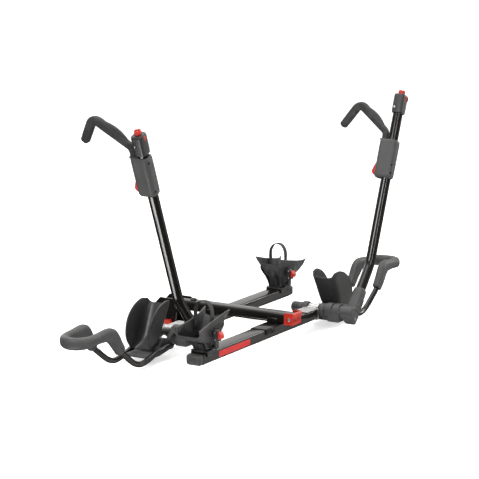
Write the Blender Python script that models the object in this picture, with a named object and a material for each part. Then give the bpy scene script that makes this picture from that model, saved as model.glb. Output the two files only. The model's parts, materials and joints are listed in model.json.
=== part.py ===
"""Hitch mounted bike rack: two platform trays on a tilting spine, held by a hitch tongue.

Frame: metres, +Z up, +X along the cross bars, +Y along the spine towards the vehicle.
The origin is the middle of the tongue's vehicle end face.  Each tray is described once, in
tray coordinates (x along its bar, y from the bar's centre line, z from the bar's top face),
and placed twice: upright on the near bar and mirrored in X on the far bar.
"""
import math

import bmesh
import bpy
import numpy as np

# ---------------------------------------------------------------- sizes (metres)
GAP = 0.0003                      # clearance between touching pieces
Y_RACK, Z_RACK = -0.510, 0.040    # near bar's centre line and top face, from the origin
BAR_PITCH = 0.244                 # near bar to far bar, along Y
BAR_W, BAR_H, BAR_T, BAR_R = 0.050, 0.032, 0.0025, 0.005   # 50 x 32 tube
BAR_X0, BAR_X1 = -0.472, 0.214    # wheel strap end, hinge end
SPINE_Y0, SPINE_Y1 = -0.0645, 0.366
RIVET_Y = -0.059
SPINE_Z = 0.0025                  # underside of the spine above the bars
PIVOT_Y, PIVOT_Z, PIVOT_R = 0.345, 0.0185, 0.006
TONGUE, TONGUE_T, TONGUE_LEN = 0.0508, 0.004, 0.135        # 2 inch shank
TUBE_R, TUBE_IN = 0.015875, 0.0138                         # 31.75 mm arm tube
HINGE_X, HINGE_Z, PIN_R = 0.244, -0.006, 0.0085            # fold pin of arm and tray
ARM_Y = -0.125                                             # plane of the arm
ARM_FOOT, ARM_BEND = (0.262, -0.0083), (0.382, 0.129)
ARM_LEAN = (0.3684, 0.9296)                                # direction of the long tube in x, z
ARM_LEN = 0.545                                            # bend to top of tube
SLIDE_NEAR, SLIDE_FAR = 0.348, 0.430                       # housing centre above the bend
HOUSE_LEN = 0.127
ROD_R = 0.0090
CRADLE_X = -0.430

COLOURS = {  # slot: (r, g, b, metallic, roughness)
    "black_paint": (0.012, 0.012, 0.013, 0.3, 0.35),
    "grey_plastic": (0.045, 0.045, 0.048, 0.0, 0.55),
    "black_plastic": (0.016, 0.016, 0.017, 0.0, 0.5),
    "red_plastic": (0.62, 0.035, 0.02, 0.0, 0.4),
    "zinc_steel": (0.62, 0.62, 0.63, 1.0, 0.3),
    "black_rubber": (0.02, 0.02, 0.02, 0.0, 0.75),
}


# ---------------------------------------------------------------- mesh helpers
def clear_scene():
    for ob in list(bpy.data.objects):
        bpy.data.objects.remove(ob, do_unlink=True)


def material(name, slot):
    r, g, b, metal, rough = COLOURS[slot]
    mat = bpy.data.materials.new(name)
    mat.use_nodes = True
    node = mat.node_tree.nodes["Principled BSDF"]
    node.inputs["Base Color"].default_value = (r, g, b, 1.0)
    node.inputs["Metallic"].default_value = metal
    node.inputs["Roughness"].default_value = rough
    mat.diffuse_color = (r, g, b, 1.0)
    mat.metallic, mat.roughness = metal, rough
    return mat


def rrect(w, h, r, n=3):
    """Rounded rectangle, counter-clockwise, as 4 * (n + 1) points."""
    pts = []
    for cx, cy, a0 in ((1, 1, 0), (-1, 1, 90), (-1, -1, 180), (1, -1, 270)):
        for k in range(n + 1):
            a = math.radians(a0 + 90 * k / n)
            pts.append((cx * (w / 2 - r) + r * math.cos(a), cy * (h / 2 - r) + r * math.sin(a)))
    return np.array(pts)


def ellipse(ru, rv, n=12):
    a = np.arange(n) * 2 * np.pi / n + np.pi / n
    return np.stack([ru * np.cos(a), rv * np.sin(a)], axis=1)


def place(section, centre, u, v):
    """A 2-D section drawn in the plane of u and v."""
    section = np.asarray(section, float)
    return np.asarray(centre, float) + section[:, :1] * np.asarray(u, float) \
        + section[:, 1:] * np.asarray(v, float)


def skin(rings, flip=False):
    n, faces = len(rings[0]), []
    for i in range(len(rings) - 1):
        for k in range(n):
            a, b = i * n + k, i * n + (k + 1) % n
            faces.append((a, b, b + n, a + n) if not flip else (a, a + n, b + n, b))
    return faces


def loft(rings):
    """Solid skinned over a list of rings, ends closed."""
    n, m = len(rings[0]), len(rings)
    faces = skin(rings)
    faces.append(tuple(range(n - 1, -1, -1)))
    faces.append(tuple((m - 1) * n + k for k in range(n)))
    return np.concatenate(rings), faces


def pipe(outer, inner):
    """Solid between two lists of matching rings, open through the middle."""
    n, m = len(outer[0]), len(outer)
    o = n * m
    faces = skin(outer) + [tuple(o + k for k in f) for f in skin(inner, flip=True)]
    for k in range(n):
        j = (k + 1) % n
        faces.append((k, o + k, o + j, j))
        e = (m - 1) * n
        faces.append((e + k, e + j, o + e + j, o + e + k))
    return np.concatenate(list(outer) + list(inner)), faces


def box(x0, x1, y0, y1, z0, z1):
    v = np.array([(x, y, z) for z in (z0, z1) for y in (y0, y1) for x in (x0, x1)], float)
    return v, [(0, 2, 3, 1), (4, 5, 7, 6), (0, 1, 5, 4), (2, 6, 7, 3), (0, 4, 6, 2), (1, 3, 7, 5)]


def axes(direction, up):
    d = np.asarray(direction, float)
    d = d / np.linalg.norm(d)
    u = np.cross(np.asarray(up, float), d)
    u = u / np.linalg.norm(u)
    return u, np.cross(d, u), d


def cyl(p0, p1, r, n=16, r1=None, up=(0, 0, 1)):
    p0, p1 = np.asarray(p0, float), np.asarray(p1, float)
    if abs(np.dot(p1 - p0, up)) > 0.99 * np.linalg.norm(p1 - p0):
        up = (1, 0, 0)
    u, v, _ = axes(p1 - p0, up)
    return loft([place(ellipse(r, r, n), p0, u, v),
                 place(ellipse(r if r1 is None else r1, r if r1 is None else r1, n), p1, u, v)])


def turned(p0, d, profile, n=16, up=(0, 0, 1)):
    """Solid of revolution: profile rows are (distance along d, radius)."""
    u, v, d = axes(d, up)
    return loft([place(ellipse(r, r, n), np.asarray(p0) + a * d, u, v) for a, r in profile])


def prism(points, y0, y1):
    """Outline in x, z pushed along y."""
    p = np.array([(x, 0, z) for x, z in points], float)
    area = sum(p[i][0] * p[i - 1][2] - p[i - 1][0] * p[i][2] for i in range(len(p)))
    if area > 0:
        p = p[::-1]
    a, b = p.copy(), p.copy()
    a[:, 1], b[:, 1] = y1, y0
    return loft([a, b])


def prism_x(points, x0, x1):
    """Outline in y, z pushed along x."""
    p = np.array([(0, y, z) for y, z in points], float)
    area = sum(p[i - 1][1] * p[i][2] - p[i][1] * p[i - 1][2] for i in range(len(p)))
    if area < 0:
        p = p[::-1]
    a, b = p.copy(), p.copy()
    a[:, 0], b[:, 0] = x0, x1
    return loft([a, b])


def sweep_rings(path, sections, up):
    """Sections carried along a path; up keeps them from twisting."""
    path = np.asarray(path, float)
    tan = np.gradient(path, axis=0)
    ups = np.broadcast_to(np.asarray(up, float), path.shape)
    rings = []
    for p, t, s, w in zip(path, tan, sections, ups):
        u, v, _ = axes(t, w)
        rings.append(place(s, p, u, v))
    return rings


def fillet(points, radius, n=4):
    """Polyline with its inner corners rounded."""
    pts = [np.asarray(p, float) for p in points]
    out = [pts[0]]
    for a, b, c in zip(pts, pts[1:], pts[2:]):
        d0, d1 = (a - b) / np.linalg.norm(a - b), (c - b) / np.linalg.norm(c - b)
        half = math.acos(max(-1, min(1, float(np.dot(d0, d1))))) / 2
        t = min(radius / math.tan(half), 0.49 * np.linalg.norm(a - b), 0.49 * np.linalg.norm(c - b))
        for k in range(n + 1):
            s = k / n
            out.append((1 - s) ** 2 * (b + d0 * t) + 2 * s * (1 - s) * b + s ** 2 * (b + d1 * t))
    out.append(pts[-1])
    return np.array(out)


# ---------------------------------------------------------------- pieces
def mesh_object(name, mesh_data, origin):
    verts, faces = mesh_data
    mesh = bpy.data.meshes.new(name)
    mesh.from_pydata([tuple(v) for v in np.asarray(verts) - np.asarray(origin)], [], faces)
    bm = bmesh.new()
    bm.from_mesh(mesh)
    bmesh.ops.recalc_face_normals(bm, faces=bm.faces)
    bm.to_mesh(mesh)
    bm.free()
    ob = bpy.data.objects.new(name, mesh)
    ob.location = origin
    bpy.context.scene.collection.objects.link(ob)
    return ob


def piece(name, slot, base, add=(), cut=(), origin=(0, 0, 0), bevel=0.0, segments=1):
    """One node: a base solid, optional bevel, then solids joined and cut."""
    ob = mesh_object(name, base, origin)
    ob.data.materials.append(material(name, slot))
    if bevel:
        m = ob.modifiers.new("edge", "BEVEL")
        m.width, m.segments, m.limit_method, m.angle_limit = bevel, segments, "ANGLE", 0.7
    for op, group in (("UNION", add), ("DIFFERENCE", cut)):
        for k, data in enumerate(group):
            tool = mesh_object("%s.%s%d" % (name, op[0].lower(), k), data, origin)
            tool.hide_render = tool.hide_viewport = True
            m = ob.modifiers.new(op.lower() + str(k), "BOOLEAN")
            m.operation, m.object, m.solver = op, tool, "EXACT"
    return ob


class Tray:
    """Places tray coordinates on the near bar (side 1) or mirrored on the far bar (side -1)."""

    def __init__(self, name, side, y_bar):
        self.name, self.side, self.y = name, side, y_bar

    def at(self, p):
        return (self.side * p[0], self.y + p[1], Z_RACK + p[2])

    def put(self, data):
        v, f = data
        v = np.asarray(v, float) * (self.side, 1, 1) + (0, self.y, Z_RACK)
        return v, (f if self.side > 0 else [tuple(reversed(q)) for q in f])

    def piece(self, node, slot, base, add=(), cut=(), origin=(0, 0, 0), **kw):
        return piece(self.name + "_" + node, slot, self.put(base), [self.put(a) for a in add],
                     [self.put(c) for c in cut], self.at(origin), **kw)


def rack(data):
    """Rack coordinates (near bar's centre line, bar top) to the row frame."""
    v, f = data
    return np.asarray(v, float) + (0, Y_RACK, Z_RACK), f


def rack_point(p):
    return (p[0], Y_RACK + p[1], Z_RACK + p[2])


# ---------------------------------------------------------------- hitch side
def hitch():
    outer = rrect(TONGUE, TONGUE, 0.005, 2)
    inner = rrect(TONGUE - 2 * TONGUE_T, TONGUE - 2 * TONGUE_T, 0.003, 2)
    ux, uz = (1, 0, 0), (0, 0, 1)
    ys = (-TONGUE_LEN, 0.0)
    shell = pipe([place(outer, (0, y, 0), ux, uz) for y in ys],
                 [place(inner, (0, y, 0), ux, uz) for y in ys])
    # end wall: the pipe is closed by a plate joined to its vehicle end
    wall = loft([place(rrect(TONGUE - 0.002, TONGUE - 0.002, 0.004, 2), (0, y, 0), ux, uz)
                 for y in (-TONGUE_T, 0.0)])
    pin = cyl((-0.05, -0.052, 0), (0.05, -0.052, 0), 0.008, 16)
    piece("tongue", "black_paint", shell, add=[wall], cut=[pin])

    x0 = TONGUE / 2 + GAP
    side = [(0.326, 0.030), (0.334, 0.0375), (0.414, 0.0375), (0.432, 0.018), (0.432, -0.0700),
            (0.360, -0.0700), (0.355, -0.030), (0.352, -0.006), (0.330, 0.004), (0.325, 0.015)]
    left = rack(prism_x(side, -x0 - 0.006, -x0))
    right = rack(prism_x(side, x0, x0 + 0.006))
    under = rack(box(-x0 - 0.001, x0 + 0.001, 0.380, 0.431, -0.0717, -0.0657))
    over = rack(box(-x0 - 0.001, x0 + 0.001, 0.394, 0.426, -0.0143, -0.0083))
    bolt = rack(cyl((-0.05, PIVOT_Y, PIVOT_Z), (0.05, PIVOT_Y, PIVOT_Z), PIVOT_R + GAP, 16))
    hole = rack(cyl((-0.05, 0.375, -0.042), (0, 0.375, -0.042), 0.0053, 12))
    window = rack(cyl((-0.05, 0.398, 0.014), (0.05, 0.398, 0.014), 0.009, 16))
    piece("hitch_bracket", "black_paint", left, add=[under, over, right], cut=[bolt, hole, window])

    e = x0 + 0.006
    profile = [(-e - 0.0075, 0.0095), (-e - 0.0070, 0.0110), (-e - GAP, 0.0110), (-e - GAP + 1e-5, PIVOT_R),
               (e + GAP - 1e-5, PIVOT_R), (e + GAP, 0.0105), (e + 0.0078, 0.0105), (e + 0.0083, 0.0095)]
    piece("pivot_bolt", "zinc_steel", rack(turned((0, PIVOT_Y, PIVOT_Z), (1, 0, 0), profile, 12)))

    lobes = []
    for k in range(24):
        a = 2 * math.pi * k / 24
        r = 0.0145 + 0.0018 * math.cos(6 * a)
        lobes.append((0.375 + r * math.cos(a), -0.042 + r * math.sin(a)))
    knob = rack(prism_x(lobes, -e - 0.024, -e - 0.004))
    stem = rack(cyl((-e - 0.006, 0.375, -0.042), (-x0 - 0.0005, 0.375, -0.042), 0.005, 12))
    piece("hitch_knob", "red_plastic", knob, add=[stem], origin=rack_point((-e, 0.375, -0.042)), bevel=0.0015)


# ---------------------------------------------------------------- spine
def spine():
    ux, uz = (1, 0, 0), (0, 0, 1)
    mid = SPINE_Z + BAR_H / 2
    outer, inner = rrect(BAR_W - 0.001, BAR_H, 0.007), rrect(BAR_W - 0.006, BAR_H - 0.005, 0.0045)
    ys = (SPINE_Y0, SPINE_Y1)
    shell = pipe([place(outer, (0, y, mid), ux, uz) for y in ys],
                 [place(inner, (0, y, mid), ux, uz) for y in ys])
    bolt = cyl((-0.05, PIVOT_Y, PIVOT_Z), (0.05, PIVOT_Y, PIVOT_Z), PIVOT_R + GAP, 16)
    rivet = cyl((-0.05, RIVET_Y, PIVOT_Z), (0.05, RIVET_Y, PIVOT_Z), 0.0033, 12)
    cap = cyl((0, 0.306, 0.028), (0, 0.306, 0.050), 0.0043, 12)
    piece("spine", "black_paint", rack(shell), cut=[rack(bolt), rack(rivet), rack(cap)],
          origin=rack_point((0, PIVOT_Y, PIVOT_Z)))
    z1 = SPINE_Z + BAR_H
    head = [(-0.006, 0.004), (GAP - 1e-5, 0.004), (GAP, 0.0105), (0.004, 0.0105), (0.0075, 0.007)]
    piece("spine_bolt", "black_paint", rack(turned((0, 0.306, z1), (0, 0, 1), head, 12, up=(1, 0, 0))))

    # release handle: two cheeks beside the spine, joined past its end by a grip
    x0, x1 = 0.0248, 0.0290
    nose = [(-0.0700, 0.0395), (-0.0745, 0.0350), (-0.0705, 0.0240), (-0.0690, 0.0010)]
    cheek = [(-0.0410, 0.0010), (-0.0410, 0.0375), (-0.0500, 0.0395)] + nose
    grip = [(-0.0685, 0.0012), (-0.0685, 0.0393)] + nose
    hole = cyl((-0.05, RIVET_Y, PIVOT_Z), (0.05, RIVET_Y, PIVOT_Z), 0.0033, 12)
    piece("tilt_lever", "red_plastic", rack(prism_x(grip, -x1 + 0.0005, x1 - 0.0005)),
          add=[rack(prism_x(cheek, -x1, -x0)), rack(prism_x(cheek, x0, x1))], cut=[rack(hole)],
          origin=rack_point((0, RIVET_Y, PIVOT_Z)))
    pin = [(-x1 - 0.0023, 0.0045), (-x1 - 0.0015, 0.0058), (-x1 - GAP, 0.0060), (-x1 - GAP + 1e-5, 0.0030),
           (x1 + GAP - 1e-5, 0.0030), (x1 + GAP, 0.0060), (x1 + 0.0015, 0.0058), (x1 + 0.0023, 0.0045)]
    piece("lever_pin", "zinc_steel", rack(turned((0, RIVET_Y, PIVOT_Z), (1, 0, 0), pin, 12)))
    piece("latch_rod", "zinc_steel", rack(cyl((0, -0.050, 0.0095), (0, 0.318, 0.0095), 0.0035, 10)),
          origin=rack_point((0, 0, 0.0095)))


# ---------------------------------------------------------------- one bar and its fixed parts
def bar(tray):
    uy, uz = (0, 1, 0), (0, 0, 1)
    mid = -BAR_H / 2
    xs = (BAR_X0, BAR_X1)
    outer = rrect(BAR_W, BAR_H, BAR_R)
    inner = rrect(BAR_W - 2 * BAR_T, BAR_H - 2 * BAR_T, BAR_R - BAR_T)
    shell = pipe([place(outer, (x, 0, mid), uy, uz) for x in xs],
                 [place(inner, (x, 0, mid), uy, uz) for x in xs])
    bolts = [-0.077 * tray.side, 0.077 * tray.side]
    holes = [cyl((x, -0.030, -0.008), (x, -0.015, -0.008), 0.0036, 10) for x in bolts]
    tray.piece("bar", "black_paint", shell, cut=holes)

    grip = rrect(BAR_W - 2 * BAR_T - 2 * GAP, BAR_H - 2 * BAR_T - 2 * GAP, 0.003)
    full, soft = rrect(BAR_W + 0.001, BAR_H + 0.001, 0.007), rrect(BAR_W - 0.008, BAR_H - 0.008, 0.006)
    rings = [(BAR_X0 + 0.018, grip), (BAR_X0 - GAP + 1e-5, grip), (BAR_X0 - GAP, full),
             (BAR_X0 - 0.014, full), (BAR_X0 - 0.0195, 0.55 * full + 0.45 * soft), (BAR_X0 - 0.022, soft)]
    tray.piece("bar_cap", "grey_plastic", loft([place(s, (x, 0, mid), uy, uz) for x, s in rings]))

    # saddle that carries the spine on this bar, with a flange down each side
    lo, hi = (-0.109, 0.115) if tray.side > 0 else (-0.115, 0.109)
    a, b, low = BAR_W / 2 + GAP, BAR_W / 2 + 0.0033, -0.016
    outline = [(-b, low), (-b, 0.0022), (b, 0.0022), (b, low), (a, low), (a, GAP), (-a, GAP), (-a, low)]
    ring = [np.array([(x, y, z) for y, z in outline]) for x in (lo, hi)]
    tray.piece("saddle", "black_paint", loft(ring),
               cut=[cyl((x, -0.035, -0.008), (x, -0.020, -0.008), 0.0036, 10) for x in bolts])
    for tag, x in (("a", bolts[0]), ("b", bolts[1])):
        head = [(-0.010, 0.0033), (GAP - 1e-5, 0.0033), (GAP, 0.0070), (0.0035, 0.0070), (0.0050, 0.0055)]
        tray.piece("saddle_bolt_" + tag, "black_paint",
                   turned((x, -b, -0.008), (0, -1, 0), head, 12))

    # hinge bracket: tenon in the bar, end plate and an eye for the fold pin
    plate = box(BAR_X1 + GAP, 0.2205, -0.0283, 0.0283, -0.0345, 0.0030)
    tenon = box(0.180, BAR_X1 + 0.002, -0.0213, 0.0213, -0.0283, -0.0037)
    top = box(0.150, BAR_X1 + 0.003, -0.0240, 0.0240, GAP, 0.0030)
    neck = box(0.2195, HINGE_X, -0.0180, 0.0180, -0.0200, 0.0080)
    eye = cyl((HINGE_X, -0.018, HINGE_Z), (HINGE_X, 0.018, HINGE_Z), 0.0175, 20)
    bore = cyl((HINGE_X, -0.03, HINGE_Z), (HINGE_X, 0.03, HINGE_Z), PIN_R + GAP, 20)
    tray.piece("hinge_bracket", "zinc_steel", plate, add=[tenon, top, neck, eye], cut=[bore])

    # fold pin with its barrel on the vehicle side
    profile = [(-0.088, 0.0075), (-0.0875, PIN_R), (0.0425, PIN_R), (0.04251, 0.0150), (0.044, 0.0168),
               (0.077, 0.0168), (0.080, 0.0150), (0.081, 0.0110)]
    tray.piece("fold_pin", "black_plastic", turned((HINGE_X, 0, HINGE_Z), (0, 1, 0), profile, 20))


# ---------------------------------------------------------------- front wheel arm
def arm_point(d, y=ARM_Y):
    return (ARM_BEND[0] + ARM_LEAN[0] * d, y, ARM_BEND[1] + ARM_LEAN[1] * d)


def along_arm(section, d, y=ARM_Y):
    """Section across the long tube: first coordinate across in x-z, second along y."""
    return place(section, arm_point(d, y), (ARM_LEAN[1], 0, -ARM_LEAN[0]), (0, 1, 0))


def arm(tray, slide):
    hinge = (HINGE_X, 0, HINGE_Z)
    foot, bend = (ARM_FOOT[0], ARM_Y, ARM_FOOT[1]), (ARM_BEND[0], ARM_Y, ARM_BEND[1])
    path = fillet([foot, bend, arm_point(ARM_LEN)], 0.10, 4)
    rings = [sweep_rings(path, [ellipse(r, r, 16)] * len(path), (0, 1, 0)) for r in (TUBE_R, TUBE_IN)]
    tray.piece("arm_tube", "black_paint", pipe(*rings), origin=hinge)

    d = np.array([ARM_BEND[0] - ARM_FOOT[0], 0, ARM_BEND[1] - ARM_FOOT[1]])
    d = d / np.linalg.norm(d)
    p = np.array(foot)
    knuckle = turned((HINGE_X, 0, HINGE_Z), (0, 1, 0),
                     [(-0.1430, 0.022), (-0.1390, 0.0275), (-0.0460, 0.0275), (-0.0425, 0.0250)], 20)
    sock = turned(p, d, [(-0.034, 0.0170), (-0.028, 0.0215), (0.055, 0.0215), (0.082, 0.0200), (0.086, 0.0185)],
                  16, up=(0, 1, 0))
    block = prism([(0.214, -0.036), (0.300, -0.036), (0.306, -0.020), (0.290, 0.012), (0.244, 0.014),
                   (0.220, 0.000)], -0.1000, -0.0600)
    pin = cyl((HINGE_X, -0.0885, HINGE_Z), (HINGE_X, -0.03, HINGE_Z), PIN_R + GAP, 20)
    tube = cyl(p - GAP * d, p + 0.12 * d, TUBE_R + GAP, 16, up=(0, 1, 0))
    tray.piece("arm_hub", "grey_plastic", knuckle, add=[sock, block], cut=[pin, tube], origin=hinge)

    lean = np.array([ARM_LEAN[0], 0, ARM_LEAN[1]])
    y = ARM_Y
    rings = [along_arm(rrect(w, h, r), s, y) for s, w, h, r in
             ((0.502, 0.036, 0.034, 0.010), (0.505, 0.041, 0.037, 0.011), (0.560, 0.041, 0.037, 0.011),
              (0.5655, 0.034, 0.031, 0.009))]
    sleeve = cyl(np.array(arm_point(0.49)), np.array(arm_point(ARM_LEN + GAP)), TUBE_R + GAP, 16, up=(0, 1, 0))
    tray.piece("lock_head", "black_plastic", loft(rings), cut=[sleeve], origin=hinge)
    core = [(0, 0.0105), (0.010, 0.0112), (0.0135, 0.0095)]
    tray.piece("lock_core", "red_plastic", turned(np.array(arm_point(0.5658)), lean, core, 14, up=(0, 1, 0)),
               origin=arm_point(0.5658))

    # slider: housing around the tube, squeeze trigger and hook
    half, y = HOUSE_LEN / 2, -0.1155
    rings = [along_arm(rrect(w, h, r), slide + s, y) for s, w, h, r in
             ((-half, 0.034, 0.052, 0.010), (-half + 0.006, 0.041, 0.060, 0.013),
              (-0.01, 0.043, 0.061, 0.014), (half - 0.006, 0.042, 0.061, 0.013), (half, 0.036, 0.055, 0.010))]
    bore = cyl(np.array(arm_point(slide - 0.08)), np.array(arm_point(slide + 0.08)), TUBE_R + 0.0005, 16,
               up=(0, 1, 0))
    pocket = loft([along_arm(np.array([(-.0095, -.0125), (.0095, -.0125), (.0095, .02), (-.0095, .02)]),
                             slide + s, -0.087) for s in (-0.054, -0.0045)])
    home = arm_point(slide)
    tray.piece("slider", "grey_plastic", loft(rings), cut=[bore, pocket], origin=home)
    key = [np.array([(-.009, a), (.009, a), (.009, b), (-.009, b)]) for a, b in
           ((-.0090, 0.0005), (-.0110, 0.0060), (-.0090, 0.0125), (-.0040, 0.0150), (-.0050, 0.0090))]
    rings = [along_arm(s, slide + t, -0.087) for s, t in zip(key, (-0.0055, -0.018, -0.034, -0.046, -0.053))]
    tray.piece("trigger", "red_plastic", loft(rings), origin=arm_point(slide - 0.010, -0.094))

    top = slide + half + GAP
    path = np.array([arm_point(top, -0.0945)] + [arm_point(slide + h, w) for h, w in (
        (.0787, -.0950), (.0931, -.0899), (.1050, -.0761), (.1256, -.0502), (.1475, -.0228), (.1613, -.0055),
        (.1704, .0114), (.1604, .0298), (.1427, .0407), (.1166, .0565), (.0990, .0672), (.0960, .0690))])
    ru = [0.0100, 0.0104, 0.0108, 0.0114, 0.0120, 0.0126, 0.0130, 0.0130, 0.0127, 0.0125, 0.0124, 0.0118, 0.0085]
    rv = [0.0100, 0.0104, 0.0108, 0.0125, 0.0150, 0.0150, 0.0138, 0.0130, 0.0127, 0.0125, 0.0124, 0.0118, 0.0085]
    tan = np.gradient(path, axis=0)
    tan[0] = lean                              # the root stands square on the housing
    rings = []
    for p, t, a, b in zip(path, tan, ru, rv):
        t = t / np.linalg.norm(t)
        side = np.array([1.0, 0, 0]) - t[0] * t
        side = side / np.linalg.norm(side)
        rings.append(place(ellipse(a, b, 12), p, side, np.cross(t, side)))
    tray.piece("hook", "black_rubber", loft(rings), origin=home)


# ---------------------------------------------------------------- wheel troughs
# half of a trough section, middle to rim: across, height, outward direction across and down
TROUGH = np.array([(0.00, 0.00, 0.0, -1.0), (0.50, 0.01, 0.1, -1.0), (0.76, 0.07, 0.55, -0.83),
                   (0.90, 0.26, 0.92, -0.38), (0.96, 0.60, 0.99, -0.10), (1.00, 1.00, 1.0, 0.0)])


def trough(floor, rim, width, wall, x0=0.0):
    """Solid trough: one section per row of floor and rim points (x, z)."""
    rings = []
    for f, r, w in zip(np.asarray(floor), np.asarray(rim), width):
        depth = np.linalg.norm(r - f)
        n = (r - f) / depth
        half = np.vstack([TROUGH[:0:-1] * (-1, 1, -1, 1), TROUGH])
        y, h = half[:, 0] * w, half[:, 1] * depth
        y2, h2 = y + half[:, 2] * wall, h + half[:, 3] * wall
        inner = np.stack([x0 + f[0] + n[0] * h, y, f[1] + n[1] * h], axis=1)
        outer = np.stack([x0 + f[0] + n[0] * h2, y2, f[1] + n[1] * h2], axis=1)
        rings.append(np.concatenate([inner, outer[::-1]]))
    return loft(rings)


# ---------------------------------------------------------------- front wheel tray
PADDLE_FLOOR = [(.386, -.036), (.360, -.025), (.341, -.005), (.326, .022), (.311, .050), (.298, .076),
                (.291, .088)]
PADDLE_RIM = [(.401, -.031), (.417, .000), (.410, .035), (.388, .065), (.354, .091), (.318, .103),
              (.300, .099)]
PADDLE_W = (.033, .036, .039, .041, .041, .040, .036)


def front_tray(tray):
    hinge = (HINGE_X, 0, HINGE_Z)
    tray.piece("paddle", "black_plastic", trough(PADDLE_FLOOR, PADDLE_RIM, PADDLE_W, 0.004), origin=hinge)

    f, r = np.array(PADDLE_FLOOR), np.array(PADDLE_RIM)
    n = (r - f) / np.linalg.norm(r - f, axis=1)[:, None]
    under = [tuple(p) for p in (f - n * 0.0046)[2::-1]]
    body = prism(under + [(.424, -.043), (.430, -.052), (.400, -.0600), (.350, -.0615), (.300, -.054),
                          (.276, -.044), (.2755, -.026), (.292, -.018), (.318, -.010)], -0.0377, 0.0377)
    add, cut = [], []
    for s in (-1, 1):
        y0, y1 = sorted((s * 0.0203, s * 0.0403))
        add.append(cyl((HINGE_X, y0, HINGE_Z), (HINGE_X, y1, HINGE_Z), 0.0215, 20))
        y0, y1 = sorted((s * 0.0210, s * 0.0370))
        add.append(prism([(.246, -.026), (.262, -.042), (.290, -.052), (.300, -.030), (.294, -.020),
                          (.252, .0145)], y0, y1))
        cut.append(cyl((.298, s * 0.022, -.037), (.298, s * 0.05, -.037), ROD_R + GAP, 12))
    cut.append(cyl((HINGE_X, -0.05, HINGE_Z), (HINGE_X, 0.05, HINGE_Z), PIN_R + GAP, 20))
    tray.piece("tray_base", "grey_plastic", body, add=add, cut=cut, origin=hinge)

    # one bent rod: two legs out of the base, through the cover and around the front
    leg = [(.298, .024, -.037), (.298, .0472, -.037), (.335, .0472, -.037), (.385, .0472, -.042),
           (.432, .0472, -.054), (.470, .0472, -.058), (.505, .0474, -.048), (.545, .0482, -.021)]
    cover = [(.578, .0490, .004), (.600, .0490, .031), (.616, .0482, .052), (.630, .0472, .063),
             (.650, .0460, .0670), (.685, .0448, .066), (.715, .0440, .0640)]
    nose = [(.715 + .045 * math.sin(t), .0440 * math.cos(t), .0640 - .004 * math.sin(t))
            for t in np.linspace(math.pi / 8, math.pi / 2, 4)]
    near = [np.array(p) for p in fillet(leg[:3], 0.0068, 2)] + [np.array(p) for p in leg[3:]]
    first = len(near)                          # where the rod enters the cover
    near += [np.array(p) for p in cover + nose]
    path = np.array(near + [p * (1, -1, 1) for p in near[-2::-1]])
    wide = (.0120, .0130, .0135, .0140, .0140, .0140, .0140, .0150)
    high = (.0155, .0185, .0215, .0225, .0190, .0165, .0165, .0185)
    tan = np.gradient(path, axis=0)
    rod, inner, outer = [], [], []
    for k, (p, t) in enumerate(zip(path, tan)):
        t = t / np.linalg.norm(t)
        j = min(k, len(path) - 1 - k)
        up = np.array([0, 0, 1.0]) if abs(t[2]) < 0.5 else \
            np.array([-np.sign(t[2]) * np.sign(t[0] + 1e-9), 0, 0.35])
        v = up - np.dot(up, t) * t
        v = v / np.linalg.norm(v)
        u = np.cross(v, t)
        rod.append(place(ellipse(ROD_R, ROD_R, 8), p, u, v))
        if j >= first:
            i = min(j - first, 7)
            inner.append(place(ellipse(ROD_R + 0.0006, ROD_R + 0.0006, 10), p, u, v))
            outer.append(place(ellipse(wide[i], high[i], 10), p, u, v))
    tray.piece("hoop_rod", "black_paint", loft(rod), origin=hinge)
    tray.piece("hoop_cover", "grey_plastic", pipe(outer, inner), origin=hinge)


# ---------------------------------------------------------------- rear wheel cradle
CRADLE_FLOOR = [(-.090, .070), (-.070, .050), (-.046, .037), (-.018, .031), (.014, .034), (.036, .052),
                (.052, .078), (.060, .098)]
CRADLE_RIM = [(-.101, .086), (-.088, .083), (-.060, .085), (-.022, .092), (.016, .099), (.044, .106),
              (.064, .112), (.074, .114)]
CRADLE_W = (.045, .041, .036, .033, .033, .035, .038, .040)


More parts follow.
